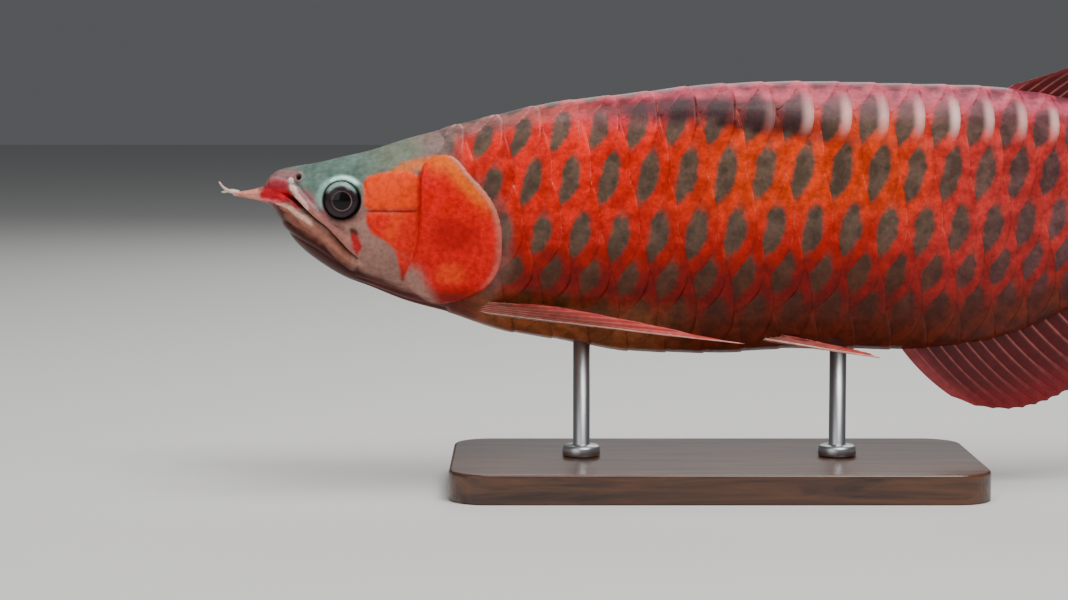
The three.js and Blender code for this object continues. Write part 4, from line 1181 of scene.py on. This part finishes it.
def fin_material(name, membrane, ray, edge, tip):
    """Fin skin stretched over bony rays: thin, moist and a little see-through."""
    material, tree, place = new_material(name)
    # x runs from the first ray to the last, y from the root out
    uv = add_node(tree, "ShaderNodeUVMap", {"uv_map": "fin_uv"}).outputs[0]
    parts = add_node(tree, "ShaderNodeSeparateXYZ", Vector=uv).outputs
    ridge = attribute(tree, "ridge")
    grain = noisy(tree, place, 300.0, 5.0)
    # the rays show palest near the body
    shown = product(tree, ridge, remap(tree, parts["Y"], 0.2, 0.9, 0.95, 0.2))
    body = mixed(tree, shown, membrane, ray)
    tipped = mixed(tree, remap(tree, parts["Y"], 0.5, 1.0, 0.0, 0.8, soft=True), body, tip)
    edged = mixed(tree, remap(tree, parts["X"], 0.0, 0.09, 0.8, 0.0, soft=True), tipped, edge)
    tone = shaded(tree, edged, remap(tree, grain, 0.3, 0.7, 0.75, 1.2))
    # the rays' joints, about a millimetre and a half apart
    joints = product(tree, math_node(tree, "SINE", product(tree, parts["Y"], 190.0)), ridge)
    relief = raised(tree, grain, 0.2, 0.0002, raised(tree, joints, 0.25, 0.0002))
    finish_shader(tree, Base_Color=tone, Roughness=0.45, Normal=relief, Specular_IOR_Level=0.3,
                  Coat_Weight=0.15, Coat_Roughness=0.2)
    return material


RAY_PARTS = 10  # columns from one ray to the next
RAY_TIP_HALF, MEMBRANE_HALF = 0.42, 0.27  # half thickness at the margin
MEMBRANE_ROOT = 0.25  # what the membrane's half thickness gains towards the root
FORK_FROM = 0.5  # share of a ray's length
FORK_SPREAD, RAY_WIDTH = 0.17, 0.07  # in spaces between rays
WAVES_ACROSS, WAVES_ALONG = 9, 3.1  # radians over the fin


def make_fin(name, node, ray_count, ray_at, root_half, across, material, steps=26, swell=0.0):
    """A closed fin. ray_at(share, along) gives the middle of the fin; rays stand out of both faces."""
    columns = RAY_PARTS * (ray_count - 1) + 1
    shares = np.linspace(0, 1, columns)
    alongs = np.linspace(0, 1, steps + 1)
    to_ray = np.abs((np.arange(columns) / RAY_PARTS + 0.5) % 1 - 0.5)
    grid = np.array([[ray_at(share, along) for along in alongs] for share in shares])
    fork = np.clip((alongs[None, :] - FORK_FROM) / (1 - FORK_FROM), 0, 1) * FORK_SPREAD
    ridge = bump_at(np.abs(to_ray[:, None] - fork), RAY_WIDTH)
    ray_half = root_half + (RAY_TIP_HALF - root_half) * alongs[None, :]
    membrane = MEMBRANE_HALF + MEMBRANE_ROOT * (1 - alongs[None, :])
    half = membrane + np.maximum(0, ray_half - membrane) * ridge
    wave = swell * np.sin(shares[:, None] * WAVES_ACROSS + alongs[None, :] * WAVES_ALONG)
    wave = wave * alongs[None, :] ** 1.5
    middle = grid + np.asarray(across) * wave[..., None]
    sides = [middle + side * np.asarray(across) * half[..., None] for side in (-1, 1)]
    n, m = columns, steps + 1
    faces = []
    for i in range(n - 1):
        for j in range(m - 1):
            a, b, c, d = i * m + j, i * m + j + 1, (i + 1) * m + j + 1, (i + 1) * m + j
            faces += [(a, b, c, d), (n * m + a, n * m + d, n * m + c, n * m + b)]
    for (a, b), (c, d) in border_edges(n - 1, m - 1):
        p, q = a * m + b, c * m + d
        faces.append((p, q, n * m + q, n * m + p))
    points = np.concatenate([s.reshape(-1, 3) for s in sides])
    piece = mesh_object(name, placed(points), faces, material)
    u = np.tile(np.repeat(shares, m), 2)
    v = np.tile(np.tile(alongs, n), 2)
    add_uv(piece, "fin_uv", np.stack([u, v], axis=1))
    # the fin's two faces lie one over the other in the unwrap
    face_side = np.repeat([0, 1], n * m)
    add_uv(piece, "OFBake", np.stack([0.01 + 0.98 * u, 0.01 + 0.475 * v + 0.505 * face_side], axis=1))
    add_value(piece, "ridge", np.tile((ridge * (1 - 0.26 * alongs[None, :])).ravel(), 2))
    turn_out(piece)
    finish_piece(piece, "fin", node)


def median_ray(root_x, root_z, length, start, end, along):
    """A point of a ray in the middle plane; it leans at start degrees and bends half way to end."""
    sunk = 4 / length
    t = along * (1 + sunk) - sunk
    angle = math.radians(start + (end - start) * max(t, 0) * 0.5)
    return np.array([root_x + length * t * math.cos(angle), 0, root_z + length * t * math.sin(angle)])


def notch(share, rays, depth=0.02):
    """The margin's scallops between the rays, as a share of the length."""
    return 1 - depth * abs(math.sin(math.pi * share * (rays - 1)))


# Where the fins start and end along the fish, and their rays
DORSAL = (364.7, 460, 20)
ANAL = (316.6, 472, 26)
CAUDAL_RAYS = 15
CAUDAL_LENGTH, CAUDAL_MIDDLE, CAUDAL_HALF, CAUDAL_SPREAD = 88, 7, 20, 29
dorsal_length = through_points([0, 0.05, 0.12, 0.25, 0.45, 0.7, 0.9, 1], [5, 12, 24, 42, 52, 51, 45, 38])
anal_length = through_points([0, 0.05, 0.15, 0.35, 0.6, 0.85, 1], [34, 42, 46, 41, 37, 34, 28])


def dorsal_ray(share, along):
    x = DORSAL[0] + (DORSAL[1] - DORSAL[0]) * share
    length = float(dorsal_length(share)) * notch(share, DORSAL[2])
    return median_ray(x, float(top_of(x)) - 0.5, length, 40 - 8 * share, 26 - 8 * share, along)


def anal_ray(share, along):
    x = ANAL[0] + (ANAL[1] - ANAL[0]) * share
    length = float(anal_length(share)) * notch(share, ANAL[2])
    return median_ray(x, float(bottom_of(x)) + 0.5, length, -54 + 14 * share, -34 + 6 * share, along)


def caudal_ray(share, along):
    side = 2 * share - 1
    length = CAUDAL_LENGTH * (1 - 0.2 * side * side) * notch(share, CAUDAL_RAYS)
    lean = CAUDAL_SPREAD * side
    return median_ray(BODY_LENGTH - 3, CAUDAL_MIDDLE + CAUDAL_HALF * side, length, lean, lean, along)


# The median fins: rays, shape, half thickness at the root, steps along a ray and wave of the margin
MEDIAN_FINS = {
    "dorsal": (DORSAL[2], dorsal_ray, 0.95, 26, 0.7),
    "anal": (ANAL[2], anal_ray, 0.95, 26, 0.7),
    "caudal": (CAUDAL_RAYS, caudal_ray, 1.3, 34, 0.8),
}
# The paired fins: root, points along the margin, how far they arch out and the way their thickness runs
PECTORAL = {
    "rays": 7, "arch": 3.0, "root": [(109, 6.4, -45.8), (119, 11.5, -41.8)], "root_half": 1.4,
    "tilt": (0.8, 0.6),
    "margin": [(239, 42, -58), (222, 36, -55.5), (200, 31, -51), (178, 27, -47), (158, 24, -43.5),
               (142, 23, -41.5)],
}
PELVIC = {
    "rays": 6, "arch": 1.0, "root": [(237, 3.5, -57.5), (246, 3, -55.5)], "root_half": 1.1,
    "tilt": (0.35, 0.94),
    "margin": [(303.5, 25, -66.3), (298, 21, -64.5), (290, 17, -63), (280, 14.5, -61), (270, 13, -59)],
}
ROOT_BULGE = 0.7  # how far the middle of a paired fin's root stands out
PAIRED_STEPS = 36


def paired_ray(fin, side, margin):
    """The points of a paired fin, by share from its first ray to its last and along the ray."""
    def at(share, along):
        start = np.array(fin["root"][0]) * (1 - share) + np.array(fin["root"][1]) * share
        start[1] += ROOT_BULGE * math.sin(math.pi * share)
        place = share * (len(margin) - 1)
        i = min(int(place), len(margin) - 2)
        edge = margin[i] + (margin[i + 1] - margin[i]) * (place - i)
        point = start + (edge - start) * along * notch(share, fin["rays"])
        point[1] = side * (point[1] + fin["arch"] * math.sin(math.pi * along))
        return point
    return at


SIDES = (("left", -1), ("right", 1))


class AROWANA_OT_fins(bpy.types.Operator):
    """Make the dorsal, anal, caudal, pectoral and pelvic fins"""
    bl_idname = "arowana.fins"
    bl_label = "Fins"

    def execute(self, context):
        look = context.scene.arowana_colours
        median = fin_material("Wet median fin", look.fin, look.fin_ray, look.fin_edge, look.fin_tip)
        paired = fin_material("Wet paired fin", look.paired, look.paired_ray, look.paired_edge,
                              look.paired_tip)
        for kind, (rays, ray_at, root, steps, swell) in MEDIAN_FINS.items():
            make_fin(f"{kind}_fin_skin", f"{kind}_fin", rays, ray_at, root, (0, 1, 0), median, steps, swell)
        for word, side in SIDES:
            for kind, fin in (("pectoral", PECTORAL), ("pelvic", PELVIC)):
                tilt = Vector((0, side * fin["tilt"][0], fin["tilt"][1])).normalized()
                ray_at = paired_ray(fin, side, rounded(fin["margin"], False, 41))
                make_fin(f"{kind}_fin_{word}_skin", f"{kind}_fin_{word}", fin["rays"], ray_at,
                         fin["root_half"], tilt, paired, steps=PAIRED_STEPS)
        return {"FINISHED"}


# The eye's colours from its middle out: the pupil with its pale ring, then the iris
EYE_STOPS = ((0.0, "#070203"), (0.50, "#0A0304"), (0.54, "#7E6464"), (0.575, "#5A4444"), (0.61, "#221518"),
             (0.82, "#33262A"), (0.92, "#2A1A1C"), (1.0, "#120A0A"))


def eye_material():
    """A fish's eye: a painted iris under a clear wet cornea."""
    material, tree, place = new_material("Fish eye iris")
    # the iris fibres are a fraction of a millimetre wide
    fibre = noisy(tree, place, 900.0, 6.0)
    # painted shade over the pale ring, then a painted highlight at the top of the iris
    ringed = mixed(tree, attribute(tree, "dim"), ramped(tree, attribute(tree, "ring"), EYE_STOPS), "#1A1012")
    highlighted = mixed(tree, attribute(tree, "lift"), ringed, "#BFE8DC")
    finish_shader(tree, Base_Color=shaded(tree, highlighted, remap(tree, fibre, 0.3, 0.7, 0.7, 1.25)),
                  Roughness=0.4, Specular_IOR_Level=0.1, Coat_Weight=0.3, Coat_Roughness=0.03)
    return material


class AROWANA_OT_eyes(bpy.types.Operator):
    """Make both eyes, set in their sockets"""
    bl_idname = "arowana.eyes"
    bl_label = "Eyes"

    def execute(self, context):
        material = eye_material()
        number = np.repeat(np.arange(EYE_RINGS + 1), EYE_SPOKES)
        angle = math.pi * number / EYE_RINGS
        turn = np.tile(around(EYE_SPOKES), EYE_RINGS + 1)
        radius = EYE_RADIUS * np.sin(angle)
        outer = number < EYE_RINGS / 2
        share = np.where(outer, radius / IRIS_RADIUS, 1.0)
        # a painted highlight: a pale crescent at the top of the iris
        lift = 0.45 * outer * smooth(share, 0.78, 0.9) * smooth(np.sin(turn), 0.35, 0.75)
        # painted shade dims the pale ring round the pupil, so that it is brightest below and behind
        dim = 0.75 * fading(np.cos(turn + math.radians(55)), -0.5, 0.6) * bump_at(share - 0.56, 0.07)
        # the ball's outer and inner halves lie side by side in the unwrap
        uv = np.stack([0.25 + 0.5 * (number > EYE_RINGS / 2) + 0.23 * np.sin(angle) * np.cos(turn),
                       0.5 + 0.4 * np.sin(angle) * np.sin(turn)], axis=1)
        for word, side in SIDES:
            middle = np.array([EYE_X, side * (float(half_width_at(EYE_X, EYE_Z)) - EYE_SINK), EYE_Z])
            points = middle + np.stack([radius * np.cos(turn), side * EYE_DEPTH * np.cos(angle),
                                        radius * np.sin(turn)], axis=1)
            piece = mesh_object(f"eye_{word}_ball", placed(points), ring_faces(EYE_RINGS + 1, EYE_SPOKES),
                                material)
            for name, values in (("ring", np.minimum(1.0, share)), ("lift", lift), ("dim", dim)):
                add_value(piece, name, values)
            add_uv(piece, "OFBake", uv)
            outward(piece)
            finish_piece(piece, "eye", f"eye_{word}")
        return {"FINISHED"}


def barbel_material():
    """Soft pale skin of a chin barbel."""
    material, tree, place = new_material("Barbel skin")
    grain = noisy(tree, place, 900.0, 4.0)
    finish_shader(tree, Base_Color=mixed(tree, grain, "#C89A8C", "#E8D8CC"), Roughness=0.35,
                  Normal=raised(tree, grain, 0.3, 0.0002), Subsurface_Weight=0.15, Subsurface_Scale=0.002)
    return material


BARBEL_ROOT = [(2.5, 2.6, 9.6), (-1.2, 3.2, 10.4)]
BARBEL_ENDS = {"left": [(-4.2, 4, 12.4), (-6, 4.6, 15)], "right": [(-4.2, 4, 9.8), (-6, 4.6, 9.6)]}
BARBEL_RINGS, BARBEL_SPOKES = 25, 16
BARBEL_RADIUS, BARBEL_TAPER = 0.95, 0.6


class AROWANA_OT_barbels(bpy.types.Operator):
    """Make the two short barbels on the tip of the jaw"""
    bl_idname = "arowana.barbels"
    bl_label = "Barbels"

    def execute(self, context):
        material = barbel_material()
        for word, side in SIDES:
            path = rounded([*BARBEL_ROOT, *BARBEL_ENDS[word]], False, BARBEL_RINGS)
            path[:, 1] *= side
            points = []
            for i, p in enumerate(path):
                along = path[min(i + 1, len(path) - 1)] - path[max(i - 1, 0)]
                along /= np.linalg.norm(along)
                over = np.cross(along, [0, 1, 0])
                over /= np.linalg.norm(over)
                aside = np.cross(along, over)
                share = i / (len(path) - 1)
                # the tip is rounded off
                radius = (BARBEL_RADIUS - BARBEL_TAPER * share) * (1 - 0.7 * smooth(share, 0.93, 1.0))
                points += [p + radius * (over * math.cos(turn) + aside * math.sin(turn))
                           for turn in around(BARBEL_SPOKES)]
            faces = ring_faces(BARBEL_RINGS, BARBEL_SPOKES) + end_faces(BARBEL_RINGS, BARBEL_SPOKES)
            piece = mesh_object(f"barbel_{word}_skin", placed(points), faces, material)
            outward(piece)
            finish_piece(piece, "barbel", f"barbel_{word}")
        return {"FINISHED"}


def wood_material():
    """Stained walnut under satin varnish, with its grain along the board."""
    material, tree, place = new_material("Satin varnished walnut")
    figure = add_node(tree, "ShaderNodeTexNoise", Vector=stretched(tree, place, (5.0, 60.0, 60.0)), Scale=2.2,
                      Detail=8.0, Roughness=0.62, Distortion=0.8).outputs[0]
    # pores run with the grain, each under a millimetre wide
    pores = noisy(tree, stretched(tree, place, (40.0, 900.0, 900.0)), 1.0, 2.0)
    finish_shader(tree, Base_Color=ramped(tree, figure, ((0.35, "#2A170D"), (0.68, "#6A4128"))),
                  Roughness=0.36, Normal=raised(tree, pores, 0.15, 0.0002), Coat_Weight=0.3,
                  Coat_Roughness=0.2)
    return material


def steel_material():
    """Brushed stainless rod: fine lines round the rod from turning."""
    material, tree, place = new_material("Brushed stainless steel")
    brush = noisy(tree, stretched(tree, place, (8.0, 8.0, 1400.0)), 1.0, 3.0)
    finish_shader(tree, Base_Color=(*linear("#C4C6C8"), 1), Metallic=1.0,
                  Roughness=remap(tree, brush, 0.0, 1.0, 0.36, 0.42),
                  Normal=raised(tree, brush, 0.02, 0.0001))
    return material


BASE_CORNER, BASE_BEVEL, CORNER_STEPS = 0.018, 0.0014, 12
BEVEL_TURNS = (0.4, 0.8, 1.2, math.pi / 2)
ROD_SPOKES = 48
# A rod's outline in metres: its radius, and the height from its foot or, at the end, from its top
ROD_FOOT = [(0, 0), (0.0086, 0), (0.009, 0.0004), (0.009, 0.0035), (0.0087, 0.0042), (0.0078, 0.005),
            (0.0046, 0.005), (0.004, 0.0056)]
ROD_TOP = [(0.004, -0.0004), (0, -0.0004)]


def base_rings(low, high):
    """Rings of points up the board, its corners rounded and its edges bevelled."""
    outline = []
    for right, back, first in ((1, 1, 0), (0, 1, 90), (0, 0, 180), (1, 0, 270)):
        cx = high[0] - BASE_CORNER if right else low[0] + BASE_CORNER
        cy = high[1] - BASE_CORNER if back else low[1] + BASE_CORNER
        for k in range(CORNER_STEPS + 1):
            turn = math.radians(first + 90 * k / CORNER_STEPS)
            outline.append((cx, cy, math.cos(turn), math.sin(turn)))
    foot = BASE_BEVEL * 0.4
    levels = [(low[2], foot), (low[2] + foot, 0), (high[2] - BASE_BEVEL, 0)]
    levels += [(high[2] - BASE_BEVEL * (1 - math.sin(a)), BASE_BEVEL * (1 - math.cos(a)))
               for a in BEVEL_TURNS]
    return [[(cx + (BASE_CORNER - cut) * c, cy + (BASE_CORNER - cut) * s, z) for cx, cy, c, s in outline]
            for z, cut in levels]


class AROWANA_OT_stand(bpy.types.Operator):
    """Make the stand: a bevelled wooden base and two steel rods"""
    bl_idname = "arowana.stand"
    bl_label = "Stand"

    def execute(self, context):
        rings = base_rings(*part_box("stand_base"))
        count = len(rings[0])
        faces = ring_faces(len(rings), count) + end_faces(len(rings), count)
        base = mesh_object("stand_base_board", sum(rings, []), faces, wood_material(), smooth_faces=False)
        outward(base)
        finish_piece(base, "stand_wood", "stand_base")
        steel = steel_material()
        for node in ("stand_rod_front", "stand_rod_rear"):
            low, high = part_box(node)
            cx, cy = (low[0] + high[0]) / 2, (low[1] + high[1]) / 2
            profile = [(r, low[2] + z) for r, z in ROD_FOOT] + [(r, high[2] + z) for r, z in ROD_TOP]
            points = [(cx + r * math.cos(turn), cy + r * math.sin(turn), z)
                      for r, z in profile for turn in around(ROD_SPOKES)]
            rod = mesh_object(f"{node}_steel", points, ring_faces(len(profile), ROD_SPOKES), steel)
            outward(rod)
            finish_piece(rod, "stand_steel", node)
        return {"FINISHED"}


def floor_material():
    """Pale matt floor paint."""
    material, tree, place = new_material("Pale matt floor")
    grain = noisy(tree, place, 30.0, 3.0)
    finish_shader(tree, Base_Color=(*linear("#D9D8D5"), 1), Roughness=0.8,
                  Normal=raised(tree, grain, 0.03, 0.001))
    return material


# Square soft lights: place in metres, side in metres, watts
LIGHTS = {
    "key": ((0.5, -0.8, 1.6), 0.8, 19),
    "top": ((0.1, -0.1, 1.5), 0.9, 17),
    "fill": ((-1.1, -1.5, 0.8), 1.4, 10),
    "back": ((0.3, 1.4, 1.1), 1.2, 10),
}
LIGHTS_AIM = (0, 0, 0.12)
WORLD_COLOUR, WORLD_STRENGTH = "#DFE3E8", 0.13
FLOOR_HALF = 6
# The photo's frame is 1068 pixels wide, at this many millimetres to a pixel of the flank
MM_TO_PIXEL, FRAME_WIDTH = 0.467, 1068
FRAME_MIDDLE = (142.4, 0, -39.7)
FLANK_Y = -0.02
SENSOR_WIDTH = 36


def aimed(name, data, place, aim):
    """An object that looks from a place at another."""
    made = link_object(name, data)
    made.location = place
    made.rotation_euler = (Vector(aim) - Vector(place)).to_track_quat("-Z", "Y").to_euler()
    return made


class AROWANA_OT_stage(bpy.types.Operator):
    """Set the floor, the soft lights and the camera"""
    bl_idname = "arowana.stage"
    bl_label = "Stage"

    def execute(self, context):
        sizes = context.scene.arowana_sizes
        corners = [(x * FLOOR_HALF, y * FLOOR_HALF, 0) for x, y in ((-1, -1), (1, -1), (1, 1), (-1, 1))]
        floor = mesh_object("floor", corners, [(0, 1, 2, 3)], floor_material())
        world = bpy.data.worlds.new("Soft studio")
        world.use_nodes = True
        background = world.node_tree.nodes["Background"]
        background.inputs["Color"].default_value = (*linear(WORLD_COLOUR), 1)
        background.inputs["Strength"].default_value = WORLD_STRENGTH
        context.scene.world = world
        for name, (place, size, power) in LIGHTS.items():
            data = bpy.data.lights.new(name, "AREA")
            data.size = size
            data.energy = power
            aimed(name, data, place, LIGHTS_AIM)
        aim = Vector(placed(FRAME_MIDDLE))
        aim.y = FLANK_Y
        rise, distance = sizes.camera_elevation, sizes.camera_distance
        data = bpy.data.cameras.new("camera")
        data.sensor_width = SENSOR_WIDTH
        data.lens = SENSOR_WIDTH * distance / (MM_TO_PIXEL * FRAME_WIDTH * MM)
        place = aim + distance * Vector((0, -math.cos(rise), math.sin(rise)))
        context.scene.camera = aimed("camera", data, place, aim)
        return {"FINISHED"}


class AROWANA_PT_panel(bpy.types.Panel):
    """The arowana's pieces and settings"""
    bl_label = "Arowana"
    bl_space_type = "VIEW_3D"
    bl_region_type = "UI"
    bl_category = "Arowana"

    def draw(self, context):
        for group in (context.scene.arowana_sizes, context.scene.arowana_colours):
            for key in group.bl_rna.properties.keys():
                if key not in ("rna_type", "name"):
                    self.layout.prop(group, key)
        for operator in OPERATORS:
            self.layout.operator(operator.bl_idname)


OPERATORS = (AROWANA_OT_stage, AROWANA_OT_skin, AROWANA_OT_scales, AROWANA_OT_fins, AROWANA_OT_eyes,
             AROWANA_OT_barbels, AROWANA_OT_stand)
CLASSES = (ArowanaColours, ArowanaSizes, *OPERATORS, AROWANA_PT_panel)


def register():
    for cls in CLASSES:
        bpy.utils.register_class(cls)
    bpy.types.Scene.arowana_colours = bpy.props.PointerProperty(type=ArowanaColours)
    bpy.types.Scene.arowana_sizes = bpy.props.PointerProperty(type=ArowanaSizes)


def unregister():
    del bpy.types.Scene.arowana_sizes
    del bpy.types.Scene.arowana_colours
    for cls in reversed(CLASSES):
        bpy.utils.unregister_class(cls)


def main():
    register()
    bpy.ops.arowana.stage()
    bpy.ops.arowana.skin()
    bpy.ops.arowana.scales()
    bpy.ops.arowana.fins()
    bpy.ops.arowana.eyes()
    bpy.ops.arowana.barbels()
    bpy.ops.arowana.stand()


if __name__ == "__main__":
    main()
